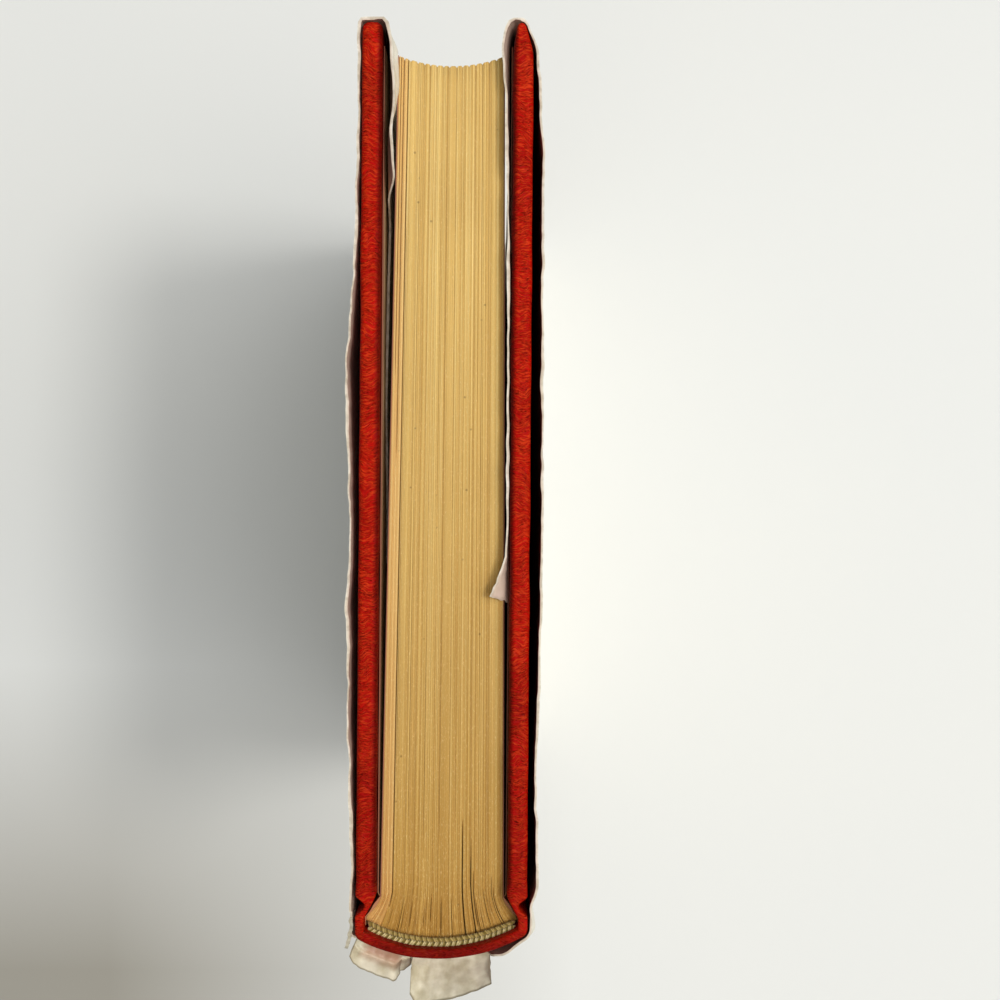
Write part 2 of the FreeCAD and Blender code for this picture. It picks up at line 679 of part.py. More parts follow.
doc.recompute()
for item in doc.Objects:
    if "Invalid" in item.State or "Error" in item.State:
        raise RuntimeError(f"{item.Label} failed: {item.State}")
for node in NODES:
    if node.Shape.isNull() or not node.Shape.isValid():
        raise RuntimeError(f"{node.Label} has no valid shape")

os.makedirs("parts", exist_ok=True)
for node in NODES:
    node.Shape.exportStep(f"parts/{node.Label}.step")
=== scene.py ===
"""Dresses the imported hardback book: leaves, covered boards, striped bands and a torn paper jacket.

Lengths are in millimetres until a mesh is made. x runs from the back cover to the front cover,
y from the spine to the fore edge and z from tail to head.
"""

import json
import math

import bpy
import numpy as np
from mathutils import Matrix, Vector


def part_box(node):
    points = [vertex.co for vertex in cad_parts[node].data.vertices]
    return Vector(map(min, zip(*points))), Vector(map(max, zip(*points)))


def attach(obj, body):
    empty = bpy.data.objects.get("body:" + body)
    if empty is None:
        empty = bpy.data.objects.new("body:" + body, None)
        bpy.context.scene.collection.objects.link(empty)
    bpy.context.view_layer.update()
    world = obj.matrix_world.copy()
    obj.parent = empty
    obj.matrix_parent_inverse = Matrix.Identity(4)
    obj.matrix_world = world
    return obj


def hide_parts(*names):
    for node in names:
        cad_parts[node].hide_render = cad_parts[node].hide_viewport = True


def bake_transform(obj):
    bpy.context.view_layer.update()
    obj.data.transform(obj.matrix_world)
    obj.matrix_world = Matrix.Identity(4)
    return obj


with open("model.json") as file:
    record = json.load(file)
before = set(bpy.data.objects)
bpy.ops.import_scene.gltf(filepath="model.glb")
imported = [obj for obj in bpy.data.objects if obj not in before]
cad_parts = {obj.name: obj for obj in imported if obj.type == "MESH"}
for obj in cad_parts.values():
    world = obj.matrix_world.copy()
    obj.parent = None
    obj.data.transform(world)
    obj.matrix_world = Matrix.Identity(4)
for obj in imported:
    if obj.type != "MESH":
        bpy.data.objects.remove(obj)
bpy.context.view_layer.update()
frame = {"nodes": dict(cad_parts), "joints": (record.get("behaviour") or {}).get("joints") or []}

MM = 0.001

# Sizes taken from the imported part


def box_mm(node):
    low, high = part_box(node)
    return np.array(low) / MM, np.array(high) / MM


block_low, block_high = box_mm("text_block")
cloth_low, cloth_high = box_mm("front_cloth")
spine_low, _ = box_mm("spine_cloth")
_, gauze_high = box_mm("spine_gauze")
flyleaf_low, flyleaf_high = box_mm("front_flyleaf")
back_leaf_low, back_leaf_high = box_mm("back_flyleaf")
pasted_low, pasted_high = box_mm("front_pastedown")
jacket_low, jacket_high = box_mm("front_jacket")
back_jacket_low, back_jacket_high = box_mm("back_jacket")
hinge = next(joint for joint in frame["joints"] if joint["name"] == "front_cover_hinge")
hinge_y = hinge["pos_m"][1] / MM

HEAD = cloth_high[2]
COVER_OUT = cloth_high[0]
COVER_IN = cloth_low[0]
COVER_FORE = cloth_high[1]
SHOULDER_Y = gauze_high[1]
SHOULDER_HALF = block_high[0]
FLARE_Y = flyleaf_low[1]
LEAF_FORE = flyleaf_high[1]
BOARD_END = pasted_low[1]
RIDGE_Y = 2 * hinge_y - BOARD_END
LEAF_PAPER = 0.12

back_rise = SHOULDER_Y - block_low[1]
BACK_RADIUS = (SHOULDER_HALF ** 2 + back_rise ** 2) / (2 * back_rise)
AXIS_Y = block_low[1] + BACK_RADIUS
CASE_RADIUS = AXIS_Y - spine_low[1]

# The head of the spine leans a little: its front side is pushed towards the fore edge
SKEW = 0.028


def skewed(x, y, z):
    return y + SKEW * x * ease(y, RIDGE_Y, RIDGE_Y - 2.3) * ease(z, HEAD - 30, HEAD - 8)


# Curves and random lines


def through(knots, at, soft):
    """The softened line through knots (place, value), read at these places."""
    places, values = zip(*sorted(knots))
    spread = np.linspace(-soft, soft, 13)
    weight = np.hanning(15)[1:-1]
    near = np.interp(np.asarray(at)[..., None] + spread, places, values)
    return near @ weight / weight.sum()


def ease(at, start, end):
    """0 before start, 1 after end and smooth between."""
    part = np.clip((np.asarray(at) - start) / (end - start), 0, 1)
    return part * part * (3 - 2 * part)


WAVES = 5
RIPPLES = 8


def waves(at, length, seed):
    """A smooth random line about 0 whose waves are about this long."""
    rng = np.random.default_rng(seed)
    total = 0
    for _ in range(WAVES):
        total = total + np.sin(2 * np.pi * (at / (length * rng.uniform(0.6, 1.8)) + rng.random()))
    return total / WAVES ** 0.5


def ripples(a, b, length, seed):
    """A smooth random field over two coordinates."""
    rng = np.random.default_rng(seed)
    total = 0
    for _ in range(RIPPLES):
        turn = rng.uniform(0, 2 * np.pi)
        along = a * np.cos(turn) + b * np.sin(turn)
        total = total + np.sin(2 * np.pi * (along / (length * rng.uniform(0.6, 1.8)) + rng.random()))
    return total / RIPPLES ** 0.5


def spaced(*runs):
    """Places along a line: each run is (from, to, count), and a run starts where the last one ends."""
    return np.concatenate([*(np.linspace(*run)[:-1] for run in runs), [runs[-1][1]]])


def stations(*runs):
    """As spaced, with each run (from, to, step)."""
    return spaced(*((low, high, round((high - low) / step) + 1) for low, high, step in runs))


def run_of(line):
    """The length along a line in plan, from its start to each point."""
    return np.concatenate([[0], np.cumsum(np.hypot(*np.diff(line, axis=0).T))])


def resampled(points, step):
    """A line of points in plan, at even steps."""
    points = np.asarray(points, float)
    length = run_of(points)
    at = np.linspace(0, length[-1], round(length[-1] / step) + 1)
    return np.stack([np.interp(at, length, points[:, i]) for i in (0, 1)], -1), at


def normals(path):
    """Unit normals of a line in plan, on its right-hand side."""
    along = np.gradient(path, axis=0)
    along = along / np.hypot(*along.T)[:, None]
    return np.stack([along[:, 1], -along[:, 0]], -1)


# Meshes


def points_of(x, y, z):
    """Points from three sets of coordinates that fill up one another's rows and columns."""
    return np.stack(np.broadcast_arrays(x, y, z), -1)


def grid_faces(rows, columns, wrap=False):
    row = np.arange(rows - 1)[:, None] * columns
    column = np.arange(columns if wrap else columns - 1)[None, :]
    ahead = (column + 1) % columns
    corners = [row + column, row + ahead, row + columns + ahead, row + columns + column]
    return np.stack(corners, -1).reshape(-1, 4)


def loft(rings):
    """A closed solid through rings of points, with a flat cap on each end."""
    count, around = rings.shape[:2]
    faces = grid_faces(count, around, wrap=True).tolist()
    faces.append(list(range(around))[::-1])
    faces.append(list(range((count - 1) * around, count * around)))
    return rings.reshape(-1, 3), faces


def shell(front, back):
    """A closed sheet between two grids of points."""
    rows, columns = front.shape[:2]
    side = rows * columns
    face = grid_faces(rows, columns)
    rim = np.concatenate([
        np.arange(columns - 1),
        np.arange(rows - 1) * columns + columns - 1,
        side - 1 - np.arange(columns - 1),
        (rows - 1 - np.arange(rows - 1)) * columns,
    ])
    ahead = np.roll(rim, -1)
    edge = np.stack([rim, rim + side, ahead + side, ahead], -1)
    points = np.concatenate([front.reshape(-1, 3), back.reshape(-1, 3)])
    return points, np.concatenate([face, face[:, ::-1] + side, edge]).tolist()


def joined(*solids):
    """Several solids as one mesh."""
    points, faces, first = [], [], 0
    for more, its_faces in solids:
        points.append(more)
        faces += [[i + first for i in face] for face in its_faces]
        first += len(more)
    return np.concatenate(points), faces


def turned_out(points, faces):
    """The faces, wound so that the solid's outside is outside."""
    first = [face[0] for face in faces for _ in face[2:]]
    second = [i for face in faces for i in face[1:-1]]
    third = [i for face in faces for i in face[2:]]
    a, b, c = points[first], points[second], points[third]
    volume = np.einsum("ij,ij->i", a, np.cross(b, c)).sum()
    return faces if volume > 0 else [face[::-1] for face in faces]


def scene_object(name, data):
    made = bpy.data.objects.new(name, data)
    bpy.context.scene.collection.objects.link(made)
    return made


def piece(name, solid, material, slot, replaces=(), sharp=40, **values):
    """A mesh object. Each of values is a number a point, which the material can read."""
    points, faces = solid
    mesh = bpy.data.meshes.new(name)
    mesh.from_pydata((points * MM).tolist(), [], turned_out(points, faces))
    mesh.polygons.foreach_set("use_smooth", [True] * len(mesh.polygons))
    mesh.set_sharp_from_angle(angle=math.radians(sharp))
    rest = mesh.attributes.new("rest", "FLOAT_VECTOR", "POINT")
    rest.data.foreach_set("vector", points.astype(np.float32).ravel())
    for key, value in values.items():
        layer = mesh.attributes.new(key, "FLOAT", "POINT")
        layer.data.foreach_set("value", np.asarray(value, np.float32).ravel())
    mesh.materials.append(material)
    made = scene_object(name, mesh)
    if replaces:
        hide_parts(*replaces)
    return made


# Materials


class Paint:
    """A node material. Its pattern lies in millimetres on the object at rest, or in the object's own
    coordinates where it is carried."""

    def __init__(self, name, roughness, carried=False):
        self.material = bpy.data.materials.new(name)
        self.material.use_nodes = True
        self.tree = self.material.node_tree
        self.inputs = self.tree.nodes["Principled BSDF"].inputs
        self.inputs["Roughness"].default_value = roughness
        if carried:
            coordinates = self.node("TexCoord").outputs["Object"]
            self.place = self.vector("SCALE", coordinates, 1 / MM)
        else:
            self.place = self.value("rest", "Vector")
        self.colour = None
        self.normal = None

    def node(self, kind, sockets=(), **settings):
        made = self.tree.nodes.new("ShaderNode" + kind)
        for key, value in settings.items():
            setattr(made, key, value)
        for key, value in dict(sockets).items():
            if isinstance(value, bpy.types.NodeSocket):
                self.tree.links.new(value, made.inputs[key])
            else:
                made.inputs[key].default_value = value
        return made

    def value(self, name, output="Fac"):
        return self.node("Attribute", attribute_name=name).outputs[output]

    def vector(self, operation, a, b):
        second = "Scale" if operation == "SCALE" else 1
        return self.node("VectorMath", {0: a, second: b}, operation=operation).outputs[0]

    def math(self, operation, a, b=0.0, clamp=False):
        sockets = {0: a, 1: b}
        return self.node("Math", sockets, operation=operation, use_clamp=clamp).outputs[0]

    def times(self, a, b):
        return self.math("MULTIPLY", a, b)

    def point(self, x, y, z):
        return self.node("CombineXYZ", {0: x, 1: y, 2: z}).outputs[0]

    def part(self, axis):
        return self.node("SeparateXYZ", {0: self.place}).outputs[axis]

    def noise(self, stretch, detail=3, rough=0.55, bend=0.0, place=None):
        """Noise whose features are 1 / stretch millimetres long, or that on each of three axes."""
        axes = stretch if isinstance(stretch, tuple) else (stretch,) * 3
        where = self.vector("MULTIPLY", place or self.place, axes)
        sockets = {"Vector": where, "Scale": 1.0, "Detail": detail,
                   "Roughness": rough, "Distortion": bend}
        return self.node("TexNoise", sockets).outputs["Fac"]

    def spots(self, size, low, high):
        """1 in the middle of scattered spots, 0 outside of them."""
        where = self.vector("SCALE", self.place, 1 / size)
        far = self.node("TexVoronoi", {"Vector": where, "Scale": 1.0}).outputs["Distance"]
        return self.span(far, high, low)

    def span(self, value, low, high):
        """0 at low, 1 at high and limited to that."""
        sockets = {"Value": value, "From Min": low, "From Max": high}
        return self.node("MapRange", sockets).outputs["Result"]

    def ridges(self, value, sharp=5.0):
        """Sharp crests where a noise passes through its middle."""
        off = self.math("ABSOLUTE", self.math("SUBTRACT", value, 0.5))
        return self.math("SUBTRACT", 1.0, self.times(off, sharp), clamp=True)

    def mix(self, factor, a, b):
        return self.node("Mix", {0: factor, 6: a, 7: b}, data_type="RGBA").outputs[2]

    def tint(self, where, tone, share=None):
        """Lays another tone over the colour where the mask is 1, or this share of it."""
        factor = where if share is None else self.times(where, share)
        self.colour = self.mix(factor, self.colour, (*rgb(*tone), 1))

    def ramp(self, value, *stops):
        made = self.node("ValToRGB", {0: value})
        band = made.color_ramp.elements
        while len(band) < len(stops):
            band.new(0.5)
        for element, (position, colour) in zip(band, stops):
            element.position = position
            element.color = (*rgb(*colour), 1)
        return made.outputs["Color"]

    def bump(self, height, depth):
        """Raises the surface by up to depth millimetres."""
        sockets = {"Height": height, "Distance": depth * MM, "Strength": 1.0}
        if self.normal:
            sockets["Normal"] = self.normal
        self.normal = self.node("Bump", sockets).outputs["Normal"]

    def done(self, roughness=None, specular=0.3, sheen=0.0):
        linked = {"Base Color": self.colour, "Roughness": roughness, "Normal": self.normal}
        for name, socket in linked.items():
            if socket:
                self.tree.links.new(socket, self.inputs[name])
        self.inputs["Specular IOR Level"].default_value = specular
        self.inputs["Sheen Weight"].default_value = sheen
        return self.material


def rgb(red, green, blue):
    """A colour read off a screen, 0 to 255, as light."""
    values = np.array([red, green, blue]) / 255
    return tuple(np.where(values <= 0.04045, values / 12.92, ((values + 0.055) / 1.055) ** 2.4))


def leaf_paint():
    paint = Paint("leaf_edges", 0.78)
    across = paint.value("across")
    y, z = paint.part(1), paint.part(2)
    along = paint.times(y, 0.018)
    down = paint.times(z, 0.012)
    strips = paint.point(paint.times(across, 60), along, down)
    leaves = paint.point(paint.times(across, 210), along, down)
    broad = paint.noise(1, 2, place=strips)
    fine = paint.noise(1, 2, 0.7, place=leaves)
    tone = paint.math("ADD", paint.times(broad, 0.5), paint.times(fine, 0.5))
    paint.colour = paint.ramp(tone, (0.32, (206, 172, 100)), (0.45, (231, 200, 126)),
                              (0.55, (239, 210, 136)), (0.68, (249, 225, 158)))
    aged = paint.math("POWER", paint.span(y, LEAF_FORE, SHOULDER_Y - 3), 1.5)
    paint.tint(aged, (182, 134, 46), 0.78)
    # Darker at the section folds, most towards the fore edge: painted shade in the creases between
    # sections.
    fold = paint.math("POWER", paint.math("ABSOLUTE", paint.value("phase")), 6)
    near_fore = paint.span(y, SHOULDER_Y + 40, LEAF_FORE)
    fold = paint.times(fold, paint.math("ADD", paint.times(near_fore, 0.35), 0.12))
    paint.tint(fold, (160, 118, 60))
    first = paint.span(across, 0.092, 0.086)
    paint.tint(first, (238, 192, 128), 0.4)
    cloud = paint.span(paint.noise(0.05, 4), 0.42, 0.72)
    paint.tint(cloud, (196, 158, 90), 0.2)
    specks = paint.spots(3.1, 0.035, 0.075)
    paint.tint(specks, (120, 78, 34), 0.5)
    flecks = paint.span(paint.noise((7, 2.2, 2.2), 4), 0.56, 0.74)
    paint.tint(flecks, (250, 226, 168), 0.5)
    pits = paint.span(paint.noise((6, 1.6, 1.6), 4, place=strips), 0.42, 0.26)
    paint.tint(pits, (168, 126, 64), 0.35)
    paint.bump(fine, 0.03)
    paint.bump(paint.noise(7, 4), 0.02)
    return paint.done(specular=0.28)


def cloth_paint():
    paint = Paint("grained_cover_cloth", 0.5)
    x, y, z = (paint.part(i) for i in range(3))
    drift = paint.times(paint.noise((0.2, 0.1, 0.2), 2), 5.5)
    across = paint.math("ADD", y, drift)
    grain_at = paint.point(paint.times(x, 0.42), paint.times(across, 3.7), paint.times(z, 0.42))
    grain = paint.ridges(paint.noise(1, 1, 0.5, 0.15, place=grain_at), 10)
    fine = paint.ridges(paint.noise((1.9, 1.6, 1.9), 2, 0.6, 0.2, place=grain_at), 7)
    cloud = paint.noise(0.09, 4)
    paint.colour = paint.ramp(cloud, (0.32, (168, 6, 0)), (0.52, (188, 10, 0)), (0.72, (204, 18, 1)))
    # Grain crests tinted lighter: the cloth's grain with a painted highlight on each crest.
    paint.tint(grain, (232, 72, 24), 0.62)
    # Grain hollows darkened: painted shade.
    hollow_shade = paint.span(fine, 0.4, 0)
    paint.tint(hollow_shade, (112, 1, 0), 0.35)
    spine = paint.times(paint.span(y, RIDGE_Y - 1.5, RIDGE_Y - 4.5), 0.7)
    paint.tint(spine, (86, 4, 1))
    rubbed = paint.times(paint.span(y, BOARD_END + 50, BOARD_END + 10), 0.3)
    paint.tint(rubbed, (116, 4, 1))
    # Darker band along the inner edge of each board, over the turn-in: the turn-in with painted shade from
    # the gap beside the leaves.
    shaded_turn_in = paint.span(paint.math("ABSOLUTE", x), COVER_IN + 1, COVER_IN + 0.4)
    over_board = paint.span(y, BOARD_END - 1, BOARD_END + 2)
    dark = paint.times(shaded_turn_in, over_board)
    paint.tint(dark, (84, 2, 1), 0.8)
    paint.bump(grain, 0.08)
    paint.bump(fine, 0.04)
    return paint.done(specular=0.08)


def jacket_paint():
    paint = Paint("jacket_paper", 0.5)
    edge, inner, grey = (paint.value(name) for name in ("edge", "inner", "grey"))
    cloud = paint.noise(0.04, 5)
    old = ((0.3, (226, 219, 198)), (0.5, (236, 231, 214)), (0.7, (242, 238, 226)))
    paint.colour = paint.ramp(cloud, *old)
    # Inner face tinted pink-brown: painted reflection of the red cloth and painted shade.
    paint.tint(inner, (206, 160, 138), 0.6)
    near = paint.span(edge, 5, 0)
    stain = paint.times(near, paint.span(paint.noise(0.5, 4), 0.35, 0.7))
    paint.tint(stain, (190, 168, 134), 0.4)
    rim = paint.span(edge, 0.3, 0)
    worn = paint.times(rim, paint.span(paint.noise(0.8, 4), 0.42, 0.62))
    paint.tint(worn, (168, 152, 128), 0.55)
    mottle = paint.noise(0.35, 5)
    dull = paint.ramp(mottle, (0.35, (200, 190, 160)), (0.62, (236, 228, 204)))
    paint.colour = paint.mix(grey, paint.colour, dull)
    root = paint.times(paint.times(grey, inner), paint.span(edge, 0.9, 2.2))
    paint.tint(root, (178, 116, 86), 0.75)
    outline = paint.times(grey, paint.span(edge, 0.22, 0.08))
    paint.tint(outline, (112, 102, 76), 0.75)
    foxing = paint.spots(9, 0.03, 0.1)
    paint.tint(foxing, (176, 132, 84), 0.35)
    creases = paint.ridges(paint.noise(0.12, 3, 0.5, 1))
    paint.bump(paint.times(creases, paint.span(edge, 30, 0)), 0.08)
    paint.bump(paint.noise(3, 5), 0.02)
    roughness = paint.span(cloud, 0.2, 0.8)
    roughness = paint.math("ADD", 0.38, paint.times(roughness, 0.2))
    return paint.done(roughness, specular=0.45)


STITCH_VALUES = ("stitch", "turn", "row", "crest")


def stitch_paint():
    paint = Paint("band_stitches", 0.75)
    stitch, turn, row, crest = (paint.value(name) for name in STITCH_VALUES)
    wander = paint.noise((0.4, 1, 1), 2, place=paint.point(stitch, row, 0))
    pairs = paint.math("ADD", paint.times(stitch, 0.5), paint.times(wander, 0.5))
    half = paint.math("FRACT", pairs)
    green = paint.span(half, 0.42, 0.58)
    cream = paint.mix(row, (*rgb(224, 204, 148), 1), (*rgb(190, 164, 98), 1))
    olive = paint.mix(row, (*rgb(134, 114, 50), 1), (*rgb(132, 108, 42), 1))
    paint.colour = paint.mix(green, cream, olive)
    at = paint.point(paint.times(stitch, 1.3), paint.times(turn, 11), row)
    strands = paint.noise(1, 3, place=at)
    paint.tint(paint.span(strands, 0.62, 0.3), (108, 94, 44), 0.45)
    # Dark between the stitch crests: painted shade.
    paint.tint(paint.span(crest, 0.5, 0.05), (62, 50, 18))
    paint.bump(strands, 0.1)
    return paint.done(sheen=0.2)


def plain_paint(name, dark, light, roughness, size, depth, weave=0.0, carried=True, top_edge_shade=None):
    """Paper, card, board, gauze or thread: a mottled colour with a small relief. It may have a weave
    or an upper edge darkened red-brown as painted shade."""
    paint = Paint(name, roughness, carried)
    cloud = paint.noise(0.5 / size, 5)
    paint.colour = paint.ramp(cloud, (0.32, dark), (0.68, light))
    if weave:
        turns = 2 * math.pi / weave
        y, z = (paint.math("SINE", paint.times(paint.part(i), turns)) for i in (1, 2))
        threads = paint.math("MAXIMUM", y, z)
        gaps = (*(0.45 * np.array(rgb(*dark))), 1)
        paint.colour = paint.mix(paint.span(threads, 0.4, -0.4), paint.colour, gaps)
        paint.bump(threads, 0.06)
    # The upper edge darkened red-brown: painted shade.
    if top_edge_shade:
        in_box = paint.node("TexCoord").outputs["Generated"]
        high = paint.node("SeparateXYZ", {0: in_box}).outputs[2]
        paint.tint(paint.span(high, 0.989, 0.997), top_edge_shade)
    paint.bump(paint.noise(2 / size, 4), depth)
    return paint.done()


LEAF = leaf_paint()
CLOTH = cloth_paint()
JACKET = jacket_paint()
STITCH = stitch_paint()
OLD_PAPER = ((206, 172, 122), (232, 206, 160), 0.75, 6, 0.02)
ENDPAPER = plain_paint("endpaper", *OLD_PAPER, top_edge_shade=(156, 98, 74))
HINGE_PAPER = plain_paint("endpaper_fold", *OLD_PAPER, carried=False, top_edge_shade=(176, 122, 84))
BOARD = plain_paint("grey_board", (140, 124, 98), (176, 160, 132), 0.85, 1.5, 0.05)
CARD = plain_paint("spine_card", (150, 128, 96), (184, 164, 128), 0.8, 2, 0.04)
LINING = plain_paint("brown_lining_paper", (168, 134, 92), (198, 166, 120), 0.75, 3, 0.03)
GAUZE = plain_paint("glued_gauze", (206, 192, 156), (232, 222, 194), 0.85, 2, 0.03, weave=0.9)
THREAD = plain_paint("linen_thread", (220, 208, 176), (242, 234, 210), 0.7, 0.5, 0.03)

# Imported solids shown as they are, by the last word of their names
BARE = {"threads": THREAD, "gauze": GAUZE, "liner": LINING, "inlay": CARD, "flyleaf": ENDPAPER,
        "pastedown": ENDPAPER, "board": BOARD}
for node, packed in frame["nodes"].items():
    material = BARE.get(node.split("_")[-1])
    if material:
        packed.data.materials.clear()
        packed.data.materials.append(material)

# Leaves

SECTIONS = 16
LEAVES = 16 * SECTIONS
SCALLOP = 0.3
FORE_HOLLOW = 1.5

# The mesh's places along a leaf, as shares of its length, and its rows from head to tail
HEAD_SHARES = spaced((0, 0.09, 34), (0.09, 1, 40))
TAIL_SHARES = spaced((0, 0.06, 8), (0.06, 1, 18))
FORE_ROWS = 26
BACK_ROWS = 5

# Open gaps between leaves: place across, from and to along y, depth, half width across
PAST_FORE = LEAF_FORE + 6
ONE_LEAF = 0.0021
GAPS = [
    (0.665, SHOULDER_Y - 4, SHOULDER_Y + 16, 2.6, 0.0042),
    (0.735, SHOULDER_Y - 4, SHOULDER_Y + 12, 2.8, 0.0042),
    (0.052, LEAF_FORE - 62, PAST_FORE, 0.7, 0.0035),
    (0.092, LEAF_FORE - 130, PAST_FORE, 0.8, 0.0038),
    (0.104, LEAF_FORE - 110, LEAF_FORE - 20, 0.4, 0.0022),
    (0.026, LEAF_FORE - 50, PAST_FORE, 0.5, 0.0028),
]
gap_rng = np.random.default_rng(17)
for gap_place in np.linspace(0.02, 0.98, 46):
    gap_place += gap_rng.normal(0, 0.009)
    gap_from = SHOULDER_Y + gap_rng.uniform(-5, -0.5)
    gap_depth = 1.2 * gap_rng.random() ** 1.5
    GAPS.append((gap_place, gap_from, SHOULDER_Y + gap_rng.uniform(3, 10), gap_depth, ONE_LEAF))
for gap_place in (0.21, 0.34, 0.47, 0.6, 0.87):
    GAPS.append((gap_place, SHOULDER_Y + 10, PAST_FORE, 0.3, ONE_LEAF))


def side_x(y):
    """The two sides of the leaves at a place from spine to fore edge."""
    far = (y - FLARE_Y) / (LEAF_FORE - FLARE_Y)
    left = back_leaf_low[0] + LEAF_PAPER + far * (back_leaf_high[0] - back_leaf_low[0] - LEAF_PAPER)
    right = flyleaf_high[0] - LEAF_PAPER + far * (flyleaf_low[0] - flyleaf_high[0] + LEAF_PAPER)
    return left, right


def leaf_x(across, y):
    """Where a leaf at this share of the thickness lies. They fan out over the shoulders."""
    left, right = side_x(np.maximum(y, FLARE_Y))
    straight = left + (right - left) * across
    fanned = SHOULDER_HALF * (2 * across - 1)
    within = 1 - (2 * across - 1) ** 2
    start = FLARE_Y + 2.5 * within
    end = SHOULDER_Y + 0.5 - 4.5 * within
    share = np.clip((start - y) / (start - end), 0, 1) ** 1.5
    return straight + (fanned - straight) * share


def section_phase(across):
    """Where in its section a leaf is, -1 to 1."""
    widths = np.random.default_rng(3).uniform(0.82, 1.18, SECTIONS)
    edges = np.concatenate([[0], np.cumsum(widths)]) / widths.sum()
    at = np.clip(np.searchsorted(edges, across, "right") - 1, 0, SECTIONS - 1)
    return 2 * (across - edges[at]) / (edges[at + 1] - edges[at]) - 1


def leaf_block():
    rng = np.random.default_rng(5)
    across = np.linspace(0, 1, 2 * LEAVES + 1)
    column = np.arange(len(across))
    phase = section_phase(across)
    fan_x = SHOULDER_HALF * (2 * across - 1)
    y_back = AXIS_Y - np.sqrt(BACK_RADIUS ** 2 - fan_x ** 2)
    y_fore = LEAF_FORE - FORE_HOLLOW * (1 - (2 * across - 1) ** 2) - SCALLOP * phase ** 4
    y_fore = y_fore - np.where(column % 2 == 0, 0.05, 0) * rng.random(len(across))

    def face(share, top, seed):
        """One end of the leaves: rows from spine to fore edge at these shares of their length."""
        y = y_back[:, None] + (y_fore - y_back)[:, None] * share
        x = leaf_x(across[:, None], y)
        near_spine = ease(y, SHOULDER_Y + 9, SHOULDER_Y - 2)
        level = np.random.default_rng(seed).normal(0, 0.035, len(across))
        ends = np.random.default_rng(seed + 2).random(len(across))
        ragged = np.convolve(ends, [0.3, 0.4, 0.3], "same")
        depth = 0.03 + np.abs(level)[:, None] + 0.1 * phase[:, None] ** 4
        depth = depth + 0.3 * ragged[:, None] * ease(y, SHOULDER_Y + 0.5, SHOULDER_Y - 3.5)
        depth = depth + 0.05 * (1 + waves(y + 40 * across[:, None], 60, seed))
        groove = (column % 2 == 0)[:, None]
        depth = depth + groove * (0.04 + 0.03 * near_spine)
        for place, start, end, most, half in GAPS:
            close = np.abs(across - place)[:, None] < half
            inside = ease(y, start, start + 3) * ease(y, end, end - 8)
            depth = np.where(close, np.maximum(depth, most * inside), depth)
        z = block_high[2] - depth if top else block_low[2] + depth
        return points_of(x, skewed(x, y, z), z)

    head = face(HEAD_SHARES, True, 21)
    tail = face(TAIL_SHARES, False, 22)
    down = np.linspace(0, 1, FORE_ROWS)[1:-1]
    top, low = head[:, -1, 2], tail[:, -1, 2]
    z = top[:, None] + (low - top)[:, None] * down
    y = y_fore[:, None] + 0.03 * waves(z + 30 * across[:, None], 30, 8) * (column % 2)[:, None]
    fore = points_of(head[:, -1, :1], y, z)
    up = np.linspace(0, 1, BACK_ROWS)[1:-1]
    z = tail[:, 0, 2][:, None] + (head[:, 0, 2] - tail[:, 0, 2])[:, None] * up
    back = points_of(head[:, 0, :1], y_back[:, None], z)
    rings = np.concatenate([head, fore, tail[:, ::-1], back], 1)
    return loft(rings), np.repeat(across, rings.shape[1]), np.repeat(phase, rings.shape[1])


solid, across, phase = leaf_block()
leaves = piece("leaves", solid, LEAF, "leaves", ["text_block"], sharp=60, across=across, phase=phase)
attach(leaves, "text_block")

# Cover boards and spine in their cloth

CORNER = 7
FLAT_ROWS = 8
FACE_ROWS = spaced((0, 0.84, 8), (0.84, 1, 12))


def round_section(inner, outer, low, high, radius):
    """Offsets and heights round a rounded upright section. Each argument is one number a station."""
    given = (inner, outer, low, high, radius)
    inner, outer, low, high, radius = (np.asarray(value, float)[:, None] for value in given)
    quarter = np.linspace(0, math.pi / 2, CORNER)
    over, under = radius * (1 - np.cos(quarter)), radius * (1 - np.sin(quarter))
    flat = np.linspace(0, 1, FLAT_ROWS)[1:-1]
    up = FACE_ROWS[1:-1]
    tall = high - low - 2 * radius
    parts = [
        (outer - under, low + over),
        (outer + 0 * up, low + radius + tall * up),
        (outer - over, high - under),
        (outer - radius + (inner - outer + 2 * radius) * flat, high + 0 * flat),
        (inner + under, high - over),
        (inner + 0 * up, low + radius + tall * up[::-1]),
        (inner + over, low + under),
        (inner + radius + (outer - inner - 2 * radius) * flat, low + 0 * flat),
    ]
    return tuple(np.concatenate([p[i] for p in parts], 1) for i in (0, 1))


EDGE_ROUND = 0.9
BAND_ROUND = 0.4
BAND = 1.45
TURN_IN = 15
GROOVE_DEPTH = 1.35
GROOVE_FLOOR = 2.4
TOP_GAP = 0.03

# How a worn board narrows at its fore end: its middle, the share lost there and the length
PINCH = {1: (10.85, 0.58, 5.2), -1: (11.3, 0.1, 1.5)}


def pinched(x, y, z, side):
    """x on a board whose fore end has been squeezed at the head."""
    middle, most, reach = PINCH[side]
    share = most * ease(y, COVER_FORE - reach, COVER_FORE + 0.6) ** 1.1
    return x + (middle - x) * share * ease(z, HEAD - 35, HEAD - 6)


